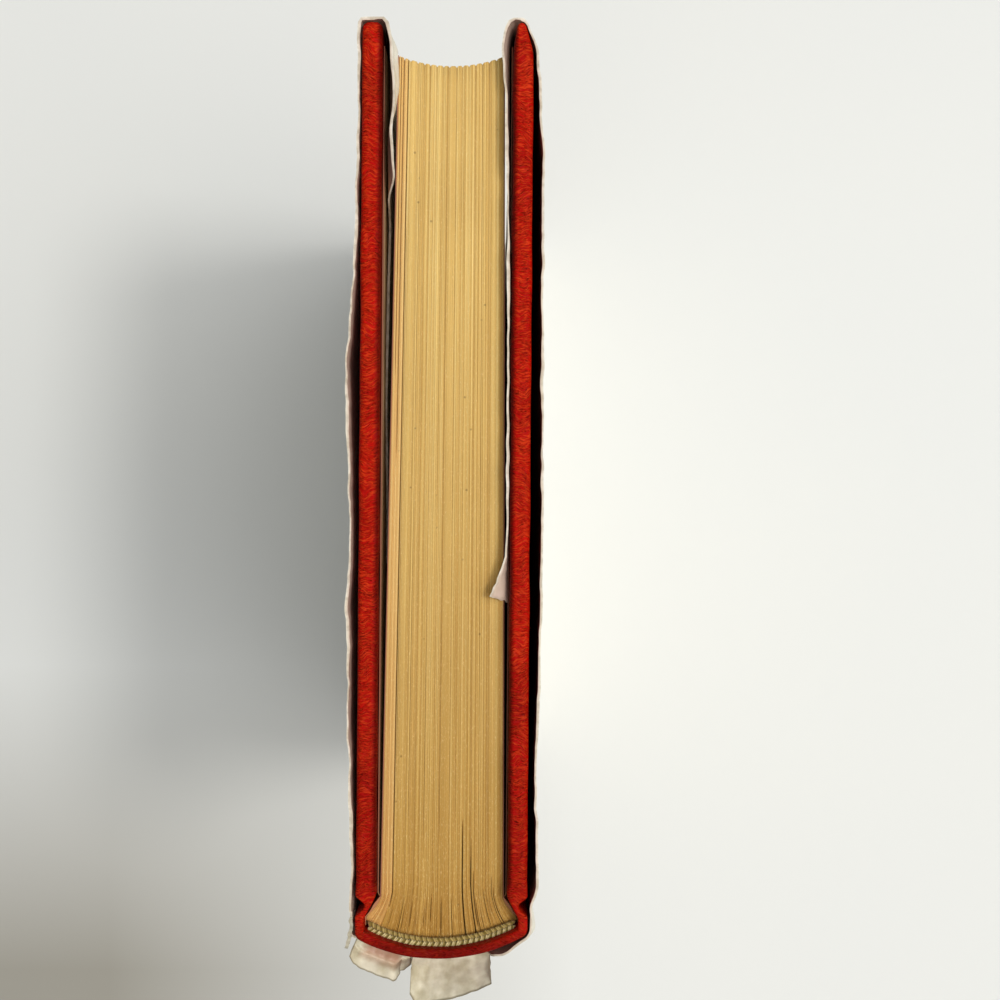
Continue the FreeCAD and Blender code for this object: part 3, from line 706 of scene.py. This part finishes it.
def cover_skin(side, seed):
    """The cloth over one board, on through the groove to the ridge of the spine."""
    y = stations((RIDGE_Y, BOARD_END + 1.5, 0.14), (BOARD_END + 1.5, COVER_FORE - 1.3, 0.22),
                 (COVER_FORE - 1.3, COVER_FORE, 0.13))
    dip = np.cos(np.clip((y - hinge_y) / (BOARD_END - hinge_y), -1, 1) * math.pi) * 0.5 + 0.5
    outer = COVER_OUT - 0.04 - GROOVE_DEPTH * dip ** 0.8
    inner = through(((RIDGE_Y, COVER_OUT - BAND), (hinge_y, COVER_OUT - GROOVE_FLOOR),
                     (BOARD_END, COVER_IN + 0.05), (COVER_FORE, COVER_IN)), y, 0.5)
    on_board = ease(y, BOARD_END - 0.6, BOARD_END + 3)
    outer = outer - on_board * (0.05 + 0.05 * waves(y, 16, seed))
    inner = inner + on_board * 0.06 * (1 + waves(y, 13, seed + 1))
    into_round = np.maximum(EDGE_ROUND - (COVER_FORE - y), 0)
    inset = EDGE_ROUND - np.sqrt(np.maximum(EDGE_ROUND ** 2 - into_round ** 2, 0))
    inset = np.minimum(inset, EDGE_ROUND * 0.96)
    outer = outer - inset
    inner = inner + inset
    worn = np.maximum(0.1 * (1 + waves(y, 21, seed + 2)), 0)
    head = HEAD - TOP_GAP - worn * on_board - 0.9 * inset - 0.25 * dip
    tail = 0.02 + 0.9 * inset
    full_round = BAND_ROUND + (EDGE_ROUND - BAND_ROUND) * on_board
    radius = np.minimum(full_round, 0.46 * (outer - inner))
    x, z = round_section(inner, outer, tail, head, radius)
    y = y[:, None]
    grain = np.clip(1 - 1.3 * np.abs(ripples(0.3 * x, y + 0.5 * z, 1.1, seed + 3)), 0, 1)
    z = z - 0.07 * (1 - grain) * ease(z, HEAD - 2, HEAD - 0.7) * on_board[:, None]
    pasted = ease(y, BOARD_END - 0.5, BOARD_END + 1.5) * ease(y, COVER_FORE - 12, COVER_FORE - TURN_IN)
    pasted = pasted * ease(z, 3, TURN_IN) * ease(HEAD - z, 3, TURN_IN)
    x = np.where(x < pasted_high[0], x + (pasted_high[0] + 0.03 - x) * pasted, x)
    return loft(points_of(side * pinched(x, y, z, side), y, z))


def board_core(side):
    """The board inside the cloth."""
    y = stations((BOARD_END + 0.4, COVER_FORE - 6, 8), (COVER_FORE - 6, COVER_FORE - 0.9, 0.5))
    core = (COVER_IN + 0.5, COVER_OUT - 0.5, 0.6, HEAD - 0.7, 0.5)
    x, z = round_section(*(np.full(len(y), value) for value in core))
    y = y[:, None]
    return loft(points_of(side * pinched(x, y, z, side), y, z))


CASE_TURN = 1.4
WALL_POINTS = 7
TURN_POINTS = 8
ARC_POINTS = 70


def spine_line(inset, side_to):
    """The case's outline in plan round the spine, from the front ridge to the back one."""
    corner_x = COVER_OUT - CASE_TURN
    far = CASE_RADIUS - CASE_TURN
    corner_y = AXIS_Y - math.sqrt(far ** 2 - corner_x ** 2)
    reach = math.asin(corner_x / far)
    bow = CASE_TURN - inset
    angles = np.linspace(0, math.pi / 2 - reach, TURN_POINTS)[1:-1]
    corner = np.stack([corner_x + bow * np.cos(angles), corner_y - bow * np.sin(angles)], -1)
    down = np.linspace(side_to, corner_y, WALL_POINTS)
    side = np.stack([np.full(WALL_POINTS, COVER_OUT - inset), down], -1)
    swing = np.linspace(reach, -reach, ARC_POINTS)
    radius = CASE_RADIUS - inset
    arc = np.stack([radius * np.sin(swing), AXIS_Y - radius * np.cos(swing)], -1)
    mirror = np.array([-1, 1])
    return np.concatenate([side, corner, arc, corner[::-1] * mirror, side[::-1] * mirror])


def spine_band():
    """The spine of the case, its head a little worn."""
    outer_line = spine_line(0.02, RIDGE_Y)
    inner_line = spine_line(BAND, RIDGE_Y)
    out = outer_line - inner_line
    thick = np.hypot(*out.T)
    out = out / thick[:, None]
    at = run_of(outer_line)
    worn = np.maximum(0.12 * (1 + waves(at, 9, 31)), 0)
    head = HEAD - TOP_GAP - worn * ease(np.minimum(at, at[-1] - at), 0, 3)
    ridge_round = np.full(len(at), BAND_ROUND)
    across, z = round_section(0.04 * (1 + waves(at, 7, 32)), thick, 0.02 + 0 * at, head, ridge_round)
    plan = inner_line[:, None, :] + out[:, None, :] * across[..., None]
    x, y = plan[..., 0], plan[..., 1]
    return loft(points_of(x, skewed(x, y, z), z))


for side, name, seed in ((1, "front", 41), (-1, "back", 51)):
    core = piece(f"{name}_board_core", board_core(side), BOARD, "cover_board", [f"{name}_board"])
    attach(core, f"{name}_cover")
    skin = piece(f"{name}_cover_cloth", cover_skin(side, seed), CLOTH, "cover_cloth", [f"{name}_cloth"])
    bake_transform(skin)

spine_case = piece("spine_case", spine_band(), CLOTH, "cover_cloth", ["spine_cloth"])
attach(spine_case, "text_block")

# Endpaper folds between flyleaf and pastedown

FOLD_STATIONS = 24
FOLD_ROWS = 30
SHOULDER_STATIONS = 30
SHOULDER_ROWS = 14


def endpaper_fold(side):
    """The endpaper where it crosses from the leaves to the board."""
    y = np.linspace(FLARE_Y + 0.15, BOARD_END + 1.2, FOLD_STATIONS)
    x = through(((FLARE_Y, flyleaf_high[0]), (BOARD_END - 0.2, pasted_low[0] + 0.05),
                 (BOARD_END + 1, pasted_low[0] - 0.02)), y, 0.3)
    z = np.linspace(pasted_low[2] + 0.3, block_high[2] - 0.1, FOLD_ROWS)
    face = points_of(side * x[:, None], y[:, None], z)
    return shell(face, face + np.array([side * 0.1, 0, 0]))


def shoulder_paper(side):
    """The edge of the endpaper that follows the leaves over their shoulder."""
    y = np.linspace(FLARE_Y, SHOULDER_Y - 0.5, SHOULDER_STATIONS)[:, None]
    edge = side * leaf_x((1 + side) / 2, y)
    z = np.linspace(block_low[2] + 2, block_high[2] - 0.02, SHOULDER_ROWS)
    faces = []
    middle = (FLARE_Y + SHOULDER_Y) / 2
    for off, swell in ((0.02, 0), (0.2, 0.35)):
        off = off * ease(y, FLARE_Y + 0.4, FLARE_Y - 0.4) + swell * np.exp(-((y - middle - 0.6) / 0.9) ** 2)
        x = side * (edge + off)
        faces.append(points_of(x, skewed(x, y, z), z))
    return shell(*faces)


for side, name in ((1, "front"), (-1, "back")):
    shoulder = piece(f"{name}_shoulder_paper", shoulder_paper(side), HINGE_PAPER, "endpaper")
    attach(shoulder, "text_block")
    fold = piece(f"{name}_endpaper_fold", endpaper_fold(side), HINGE_PAPER, "endpaper")
    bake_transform(fold)

# Headband and tailband

STITCH_PITCH = 0.44
BEAD_REACH = 11.1
BEAD_STATIONS = 469
BEAD_SIDES = 18
TAPE_STATIONS = 61
TAPE_ROWS = 9

# The upper and the lower row of stitches: radius of the row, of its cord and slant of a stitch
BEADS = ((BACK_RADIUS + 0.52, 0.4, 0.42), (BACK_RADIUS - 0.14, 0.36, -0.34))


def stitched_band(z_bead, z_skirt):
    """Two rows of wrapped stitches on a curved cord, with the tape that is glued to the leaves' back."""
    parts = []
    for index, (radius, bead, slant) in enumerate(BEADS):
        reach = math.asin(BEAD_REACH / radius)
        at = np.linspace(-reach, reach, BEAD_STATIONS)
        run = at * radius / STITCH_PITCH
        around = np.linspace(0, 2 * math.pi, BEAD_SIDES + 1)[:-1]
        slanted = run[:, None] + 0.14 * waves(run, 5, 65 + index)[:, None] + slant * np.cos(around)
        bulge = np.abs(np.sin(math.pi * slanted)) ** 0.6
        size = bead * (0.66 + 0.34 * bulge)
        size = size * (1 + 0.09 * waves(run, 1.9, 60 + index))[:, None]
        closing = np.sqrt(np.clip((reach - np.abs(at)) * radius / bead, 0.02, 1))[:, None]
        reach_out = radius + size * closing * np.cos(around)
        lift = 0.1 * waves(run, 23, 70 + index)[:, None]
        x = reach_out * np.sin(at)[:, None]
        z = z_bead + lift - 0.1 * index + size * closing * np.sin(around)
        y = skewed(x, AXIS_Y - reach_out * np.cos(at)[:, None], z)
        turn = np.tile(around / (2 * math.pi), len(at))
        parts.append((loft(points_of(x, y, z)), slanted.ravel() + 100, turn, np.full(x.size, index),
                      bulge.ravel()))
    reach = math.asin((BEAD_REACH - 0.5) / BACK_RADIUS)
    at = np.linspace(-reach, reach, TAPE_STATIONS)[:, None]
    z = np.linspace(z_skirt, z_bead, TAPE_ROWS)
    faces = [
        points_of(radius * np.sin(at), AXIS_Y - radius * np.cos(at), z)
        for radius in (BACK_RADIUS + 0.2, BACK_RADIUS + 0.08)
    ]
    stitch = np.tile(np.repeat(at * BACK_RADIUS / STITCH_PITCH + 100, TAPE_ROWS), 2)
    ones = np.ones(stitch.size)
    parts.append((shell(*faces), stitch, 0 * ones, ones, ones))
    solids, *values = zip(*parts)
    return joined(*solids), {name: np.concatenate(value) for name, value in zip(STITCH_VALUES, values)}


for name, node in (("head_band", "headband"), ("tail_band", "tailband")):
    low, high = box_mm(node)
    bead_z, skirt_z = (high[2] - 0.85, low[2]) if node == "headband" else (low[2] + 0.85, high[2])
    solid, values = stitched_band(bead_z, skirt_z)
    band = piece(name, solid, STITCH, "headband", [node], **values)
    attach(band, "text_block")

# Paper jacket

# At the head a pixel of the photograph is this long, and the boards end by the groove at this row
PIXEL = 0.15
BOARD_ROW = 895
BOARD_FROM_SHOULDER = 4.25


def pixel_y(row):
    """The place along the leaves of a row of the photograph, at the head."""
    return (BOARD_ROW - row) * PIXEL + BOARD_FROM_SHOULDER + SHOULDER_Y


JACKET_PAPER = 0.2
SWOLLEN = 0.075
SHEET_ROWS = spaced((0, 0.84, 12), (0.84, 0.97, 12), (0.97, 1, 13))
SEAM_Y = RIDGE_Y + 0.7
PANEL_X = 13.45


def paper_sheet(path, top, lean):
    """An upright sheet along a line in plan. top is its upper edge's height at each place and lean moves
    it along its outward normal. Its worn edge is swollen. Returns its two faces, the distance to the
    upper edge and which face each point is on."""
    z = jacket_low[2] + (top - jacket_low[2])[:, None] * SHEET_ROWS
    out = normals(path)
    offset = lean(z)
    edge = top[:, None] - z
    swollen = SWOLLEN * (1 + 0.7 * waves(np.arange(len(path)), 31, len(path)))[:, None]
    swollen = swollen + 0.12 * ease(path[:, 1], COVER_FORE - 3, COVER_FORE)[:, None]
    half = JACKET_PAPER / 2 + swollen * ease(edge, 1.1, 0.1)
    grids = []
    for shift in (half, -half):
        plan = path[:, None, :] + out[:, None, :] * (offset + shift)[..., None]
        grids.append(np.concatenate([plan, z[..., None]], -1))
    return grids, np.tile(edge.ravel(), 2), np.repeat([0.0, 1.0], z.size)


def nicked(at, height, seed, nicks=()):
    """An upper edge with small wear and nicks (place, half width, depth)."""
    edge = height - 0.09 * (1 + waves(at, 11, seed)) - 0.05 * (1 + waves(at, 2.3, seed + 1))
    for place, half, depth in nicks:
        edge = edge - depth * np.clip(1 - np.abs(at - place) / half, 0, 1) ** 0.7
    return edge


def cover_jacket(side, name, body_line, head_line, flap_line, belly_line, flap, low, high, turns, seed,
                 nicks, curl, flare_out, sunk):
    """One panel of the jacket with its turn round the fore edge and its flap.
    The lines are knots (y, distance from the middle) of the outer face. flap is the flap's width, low and
    high bound the distance from the middle, turns are the radii of the fore fold, curl rolls the flap's
    end up and sunk lowers the flap's edge."""
    flap_x = low + JACKET_PAPER / 2
    fore = COVER_FORE + 0.25 + JACKET_PAPER / 2
    turn_out, turn_in = turns
    quarter = np.linspace(0, math.pi / 2, 9)
    over, under = 1 - np.cos(quarter), 1 - np.sin(quarter)
    bend_out = np.stack([PANEL_X - turn_out * over, fore - turn_out * under], -1)
    bend_in = np.stack([flap_x + turn_in * under, fore - turn_in * over], -1)
    flap_end = fore - flap
    corners = np.concatenate([[[PANEL_X, SEAM_Y]], bend_out, bend_in, [[flap_x, flap_end]]])
    path, at = resampled(corners, 0.65)
    panel = path[:, 0] > PANEL_X - 0.3
    flap_part = path[:, 0] < flap_x + 0.3
    middle = (PANEL_X + flap_x) / 2
    past_apex = ease(path[:, 0], middle, flap_x + 0.2) * (at > at[panel].max())
    y = path[:, 1]
    top = nicked(at, HEAD - 0.22, seed, nicks)
    if sunk:
        low_end = sunk * ease(y, pixel_y(165), pixel_y(225)) + 5 * ease(y, flap_end + 30, flap_end)
        top = top - low_end * flap_part
    body = np.where(panel, through(body_line, y, 8) - PANEL_X, 0)
    from_seam = ease(y, SEAM_Y, SEAM_Y + 3)
    body = body * from_seam * ease(y, fore, fore - 4)
    head = through(head_line, y, 1.5) - JACKET_PAPER / 2 - PANEL_X
    head = head * from_seam + 0.05 * waves(at, 9, seed + 3) + 0.03 * waves(at, 3, seed + 6)
    toward = flap_x - through(flap_line, y, 1.5)
    belly = through(belly_line, y, 1.5)[:, None]
    crisp = 0.05 * waves(at, 6, seed + 4) * ease(np.abs(y - fore), 0.5, 4)

    def lean(z):
        near_head = ease(z, HEAD - 75, HEAD - 2)
        flare = ease(z, HEAD - 4.5, HEAD)
        soft = 0.05 * ripples(at[:, None], z, 55, seed + 5) * ease(z, 2, 30)
        on_panel = body[:, None] + (head - body)[:, None] * near_head
        on_panel = on_panel + (crisp + flare_out)[:, None] * flare
        in_flap = 0.3 * ease(z, HEAD - 60, HEAD - 8) + 0.7 * ease(z, HEAD - 5.5, HEAD - 0.6)
        on_flap = toward[:, None] * in_flap + crisp[:, None] * flare
        on_flap = on_flap + belly * np.exp(-((HEAD - 4.2 - z) / 2.6) ** 2)
        rolled = curl * np.clip(1 - (y - flap_end) / 8.5, 0, 1)[:, None] ** 1.8
        on_flap = on_flap + rolled * np.clip((z - block_high[2] - 0.1) / 2.6, 0, 1) ** 1.3
        shape = np.where(panel[:, None], on_panel + soft * ease(y, SEAM_Y, SEAM_Y + 6)[:, None], 0)
        return np.where(past_apex[:, None] > 0, on_flap * past_apex[:, None], shape)

    grids, edge, inner = paper_sheet(path, top, lean)
    for grid in grids:
        x, along, z = grid[..., 0], grid[..., 1], grid[..., 2]
        if curl:
            above = flap_part[:, None] * ease(z, block_high[2] - 1, block_high[2] + 1)
            rough = 0.09 * ripples(1.6 * along, z, 2.2, seed + 9)
            x += rough * ease(along, flap_end + 9, flap_end + 2) * above
            slope = 1.1 * np.clip(1 - (z - block_high[2]) / 3.2, 0, 1) + 0.13 * waves(z, 1.1, seed + 8)
            along -= slope * ease(along, flap_end + 3, flap_end) * flap_part[:, None]
        x += (pinched(x, along, z, side) - x) * np.where(x < PINCH[side][0], 0.35, 1)
        leaf = np.abs(side_x(along)[1 if side > 0 else 0]) + LEAF_PAPER + 0.14
        beside = (z < block_high[2] + 0.15) & (along < LEAF_FORE + 0.6)
        x[:] = np.where(beside, np.maximum(x, leaf), x)
        x[:] = np.minimum(x, high)
        along[:] = np.minimum(along, jacket_high[1])
        x *= side
    made = piece(f"{name}_jacket_paper", shell(*grids), JACKET, "jacket", [f"{name}_jacket"],
                 sharp=70, edge=edge, inner=inner)
    x = side * PANEL_X * MM
    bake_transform(made)


def rows_of(*pairs):
    """Knots whose places are rows of the photograph."""
    return [(pixel_y(row), value) for row, value in pairs]


cover_jacket(
    1, "front",
    body_line=((SEAM_Y, 13.5), (-42, 14.2), (4, 14.75), (47, 14.25), (73, 13.5)),
    head_line=rows_of((20, 13.4), (45, 13.5), (100, 14), (150, 14.5), (200, 14.5), (300, 14.4),
                      (400, 14.55), (500, 14.8), (600, 14.7), (700, 14.4), (780, 13.9), (850, 14.3),
                      (880, 14.3), (905, 13.7)),
    flap_line=rows_of((18, 8.7), (28, 8.3), (38, 8.05), (52, 8.2), (92, 8.75), (138, 8.9), (214, 9.2),
                      (310, 9.35), (600, 9.46)),
    belly_line=rows_of((20, 0), (60, 0)),
    flap=86, low=jacket_low[0], high=jacket_high[0] - 0.02, turns=(1.85, 1.85), seed=81,
    nicks=((22, 1.6, 0.9), (71, 3.4, 1.2), (102, 1.0, 0.7), (126, 1.4, 1.0), (160, 2.0, 0.8)),
    curl=2.5, flare_out=0.02, sunk=0)

cover_jacket(
    -1, "back",
    body_line=((SEAM_Y, 13.5), (-42, 14.0), (23, 15), (46, 13.9), (73, 13.45)),
    head_line=rows_of((20, 13.2), (60, 13.3), (100, 13.2), (150, 13.3), (250, 13.5), (290, 13.9),
                      (340, 14.6), (360, 14.9), (400, 14.7), (440, 14.4), (480, 14.2), (560, 13.95),
                      (600, 14.5), (650, 14.1), (700, 14.2), (800, 13.7), (870, 13.3), (905, 13.5)),
    flap_line=rows_of((20, 9.2), (31, 8.9), (46, 8.6), (77, 8.35), (98, 8.1), (138, 8.4), (190, 7.75),
                      (280, 8.7), (400, 9.4)),
    belly_line=rows_of((28, 0), (44, 1.3), (62, 1.6), (84, 1.6), (104, 1), (124, 0.1), (140, 0)),
    flap=82, low=-back_jacket_high[0], high=-back_jacket_low[0] - 0.02, turns=(0.7, 0.8), seed=91,
    nicks=((34, 1.2, 0.9), (58, 4.0, 0.5), (84, 5.0, 1.3), (90, 1.0, 0.8), (118, 2.2, 0.9)),
    curl=0, flare_out=0.16, sunk=9.5)


def jacket_spine():
    """The jacket round the spine, torn off at the head down to a ragged edge."""
    line = spine_line(-0.55, SEAM_Y)[::-1]
    path, at = resampled(line, 0.4)
    x, y = path.T
    tear = through(((-13.6, 0.6), (-12.6, 3.4), (-11, 6.3), (-8, 7.2), (-5, 7.6), (-3, 7.4), (3, 7.7),
                    (6.2, 7.2), (6.8, 4.4), (7.4, 1.3), (9.2, 0.6), (11, 0.3), (13.6, 0.1)), x, 0.3)
    side_wall = ease(y, SHOULDER_Y - 1.6, SHOULDER_Y + 0.4)
    tear = np.where(x < 0, tear * (1 - 0.85 * side_wall), tear)
    top = nicked(at, HEAD - 0.25, 101) - tear - 0.18 * (1 + waves(at, 1.7, 103)) * ease(tear, 0.5, 3)

    def lean(z):
        corner = ease(x, 9, 12.5)
        flare = ease(z, HEAD - 22, HEAD - 7) * (1 - corner[:, None] * ease(z, HEAD - 4.5, HEAD - 0.5))
        left = at[-1] - at
        loose = np.where(x < 0, 0.2, 0.72) * ease(at, 0, 6) * ease(left, 0, 4)
        loose = loose + 0.1 * waves(at, 2.5, 105) * ease(at, 0, 3) * ease(left, 0, 3)
        soft = 0.05 * ripples(at[:, None], z, 40, 104) * (ease(at, 0, 4) * ease(left, 0, 4))[:, None]
        return loose[:, None] * flare + soft

    grids, edge, inner = paper_sheet(path, top, lean)
    for grid in grids:
        grid[..., 1] = skewed(*np.moveaxis(grid, -1, 0))
    return shell(*grids), edge, inner, 0 * edge


STRIP_ROWS = 14
STRIP_HALF = 0.24
STRIP_GREY = 0.6


def torn_strip():
    """The ragged strip that is left of the jacket beside the back corner of the spine."""
    path, at = resampled(((-13.5, -60.4), (-13.45, -62), (-13.75, -63.4), (-14.15, -65.1)), 0.12)
    out = normals(path[::-1])[::-1]
    rows = np.linspace(0, 1, STRIP_ROWS)
    top = HEAD - 0.35 - 0.35 * (1 + waves(at, 2.2, 131)) * ease(at, 0, 1.5)
    low = HEAD - 6.5 + 2.4 * (at / at[-1]) ** 2
    z = low[:, None] + (top - low)[:, None] * rows
    faces = []
    for shift in (STRIP_HALF, -STRIP_HALF):
        bend = shift + 0.12 * waves(at, 1.4, 132)[:, None] * rows
        plan = path[:, None, :] - out[:, None, :] * bend[..., None]
        faces.append(np.concatenate([plan, z[..., None]], -1))
    edge = np.minimum(top[:, None] - z, (at[-1] - at)[:, None] + 0 * z)
    count = 2 * z.size
    return shell(*faces), np.tile(edge.ravel(), 2), np.zeros(count), np.full(count, STRIP_GREY)


SCRAP_ACROSS = 61
SCRAP_OUT = 25
SCRAP_THICK = 0.22


def scrap(root, tips, z_root, rise, seed, fold=0.0, flushed=0.0):
    """A torn flap of paper that stands out from the foot of the tear. root gives its ends across the
    spine, tips the outer edge (x, y) from one end to the other."""
    radius = CASE_RADIUS + 0.6
    a = np.linspace(0, 1, SCRAP_ACROSS)[:, None]
    b = np.linspace(0, 1, SCRAP_OUT)[None, :]
    x0 = root[0] + (root[1] - root[0]) * a
    y0 = AXIS_Y - np.sqrt(radius ** 2 - x0 ** 2)
    line, _ = resampled(tips, 0.1)
    place = np.linspace(0, len(line) - 1, SCRAP_ACROSS)
    x1, y1 = (np.interp(place, np.arange(len(line)), line[:, i])[:, None] for i in (0, 1))
    y1 = y1 + 0.05 * waves(a * 30, 4, seed) * ease(np.minimum(a, 1 - a), 0, 0.1)
    outward = np.where(a < 0.5, -1, 1)
    x = x0 + (x1 - x0) * b + 0.06 * waves(b * 8, 3, seed + 1) * outward * np.abs(2 * a - 1) ** 6
    y = y0 + (y1 - y0) * b
    z = z_root + rise * b ** 1.3 + 0.16 * ripples(x, y, 6, seed + 2) * ease(b, 0, 0.5)
    z = z + 0.07 * ripples(x, y, 1.6, seed + 3) * ease(b, 0, 0.4)
    z = z - fold * np.exp(-((b - 0.6) / 0.08) ** 2)
    face = points_of(x, y, z)
    under = face - np.array([0, 0, SCRAP_THICK])
    edge = np.minimum((1 - b) * 4, np.minimum(a, 1 - a) * 8) + 0 * x
    count = 2 * x.size
    return shell(face, under), np.tile(edge.ravel(), 2), np.full(count, flushed), np.ones(count)


# Each sheet: its solid, the distance to its edge, its share of inner face and its share of grey
sheets = [
    jacket_spine(),
    torn_strip(),
    scrap((-4.6, 7.2),
          ((-4.6, -68.9), (-4.75, -72.4), (-4.0, -74.0), (-2.6, -74.0), (2.1, -73.05), (6.35, -71.45),
           (7.6, -70.8), (7.45, -69.2)),
          HEAD - 7.6, 4.8, 111),
    scrap((-12.6, -4.7),
          ((-14.1, -67.3), (-13.4, -68.6), (-12.2, -69.3), (-10.2, -70.1), (-7.36, -71.05),
           (-6.9, -70.95), (-6.3, -69.9), (-6.4, -69.5), (-5.7, -69.4), (-4.65, -68.6)),
          HEAD - 7.2, 2.6, 121, fold=0.5, flushed=1.0),
]
solids, *values = zip(*sheets)
edge, inner, grey = (np.concatenate(value) for value in values)
spine_paper = piece("spine_jacket_paper", joined(*solids), JACKET, "jacket", ["spine_jacket"],
                    sharp=70, edge=edge, inner=inner, grey=grey)
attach(spine_paper, "text_block")

# Table, light and camera


def stage_floor():
    """A pale floor, darker where the photograph has shade."""
    size, cuts, under = 3.0, 12, -0.00005
    at = np.linspace(-size / 2, size / 2, cuts + 1)
    points = points_of(*np.meshgrid(at, at), under).reshape(-1, 3)
    mesh = bpy.data.meshes.new("floor")
    mesh.from_pydata(points.tolist(), [], grid_faces(cuts + 1, cuts + 1).tolist())
    paint = Paint("pale_floor", 0.6, carried=True)
    cloud = paint.noise(0.004, 2)
    paint.colour = paint.ramp(cloud, (0.3, (231, 232, 230)), (0.7, (235, 235, 231)))
    shade = paint.times(paint.span(paint.part(0), 30, -100), paint.span(paint.part(1), -45, -130))
    paint.tint(shade, (134, 127, 112), 0.8)
    mesh.materials.append(paint.done(specular=0.1))
    floor = scene_object("floor", mesh)


def area_light(name, at, size, power, colour):
    data = bpy.data.lights.new(name, "AREA")
    data.shape, data.size = "DISK", size
    data.energy, data.color = power, colour
    lamp = scene_object(name, data)
    lamp.location = at
    aim = np.array([0, 0, 0.1]) - np.array(at)
    lamp.rotation_euler = Vector(aim).to_track_quat("-Z", "Y").to_euler()


def world_light(colour, strength):
    world = bpy.data.worlds.new("soft_room")
    world.use_nodes = True
    inputs = world.node_tree.nodes["Background"].inputs
    inputs["Color"].default_value = (*colour, 1)
    inputs["Strength"].default_value = strength
    bpy.context.scene.world = world


def photo_camera():
    data = bpy.data.cameras.new("camera")
    data.sensor_width, data.lens = 36.0, 58.0
    data.clip_start, data.clip_end = 0.01, 10
    camera = scene_object("camera", data)
    camera.location = (0.0083, 0.0021, 0.450)
    camera.rotation_euler = (0, 0, math.radians(0.44))
    bpy.context.scene.camera = camera


stage_floor()
world_light((0.93, 0.97, 1.0), 0.3)
area_light("window", (1.24, 0.1, 3.0), 2.8, 66, (1.0, 0.985, 0.955))
area_light("lamp", (1.18, 0.08, 3.0), 0.5, 25, (1.0, 0.985, 0.95))
photo_camera()
bpy.context.scene.view_settings.view_transform = "Standard"
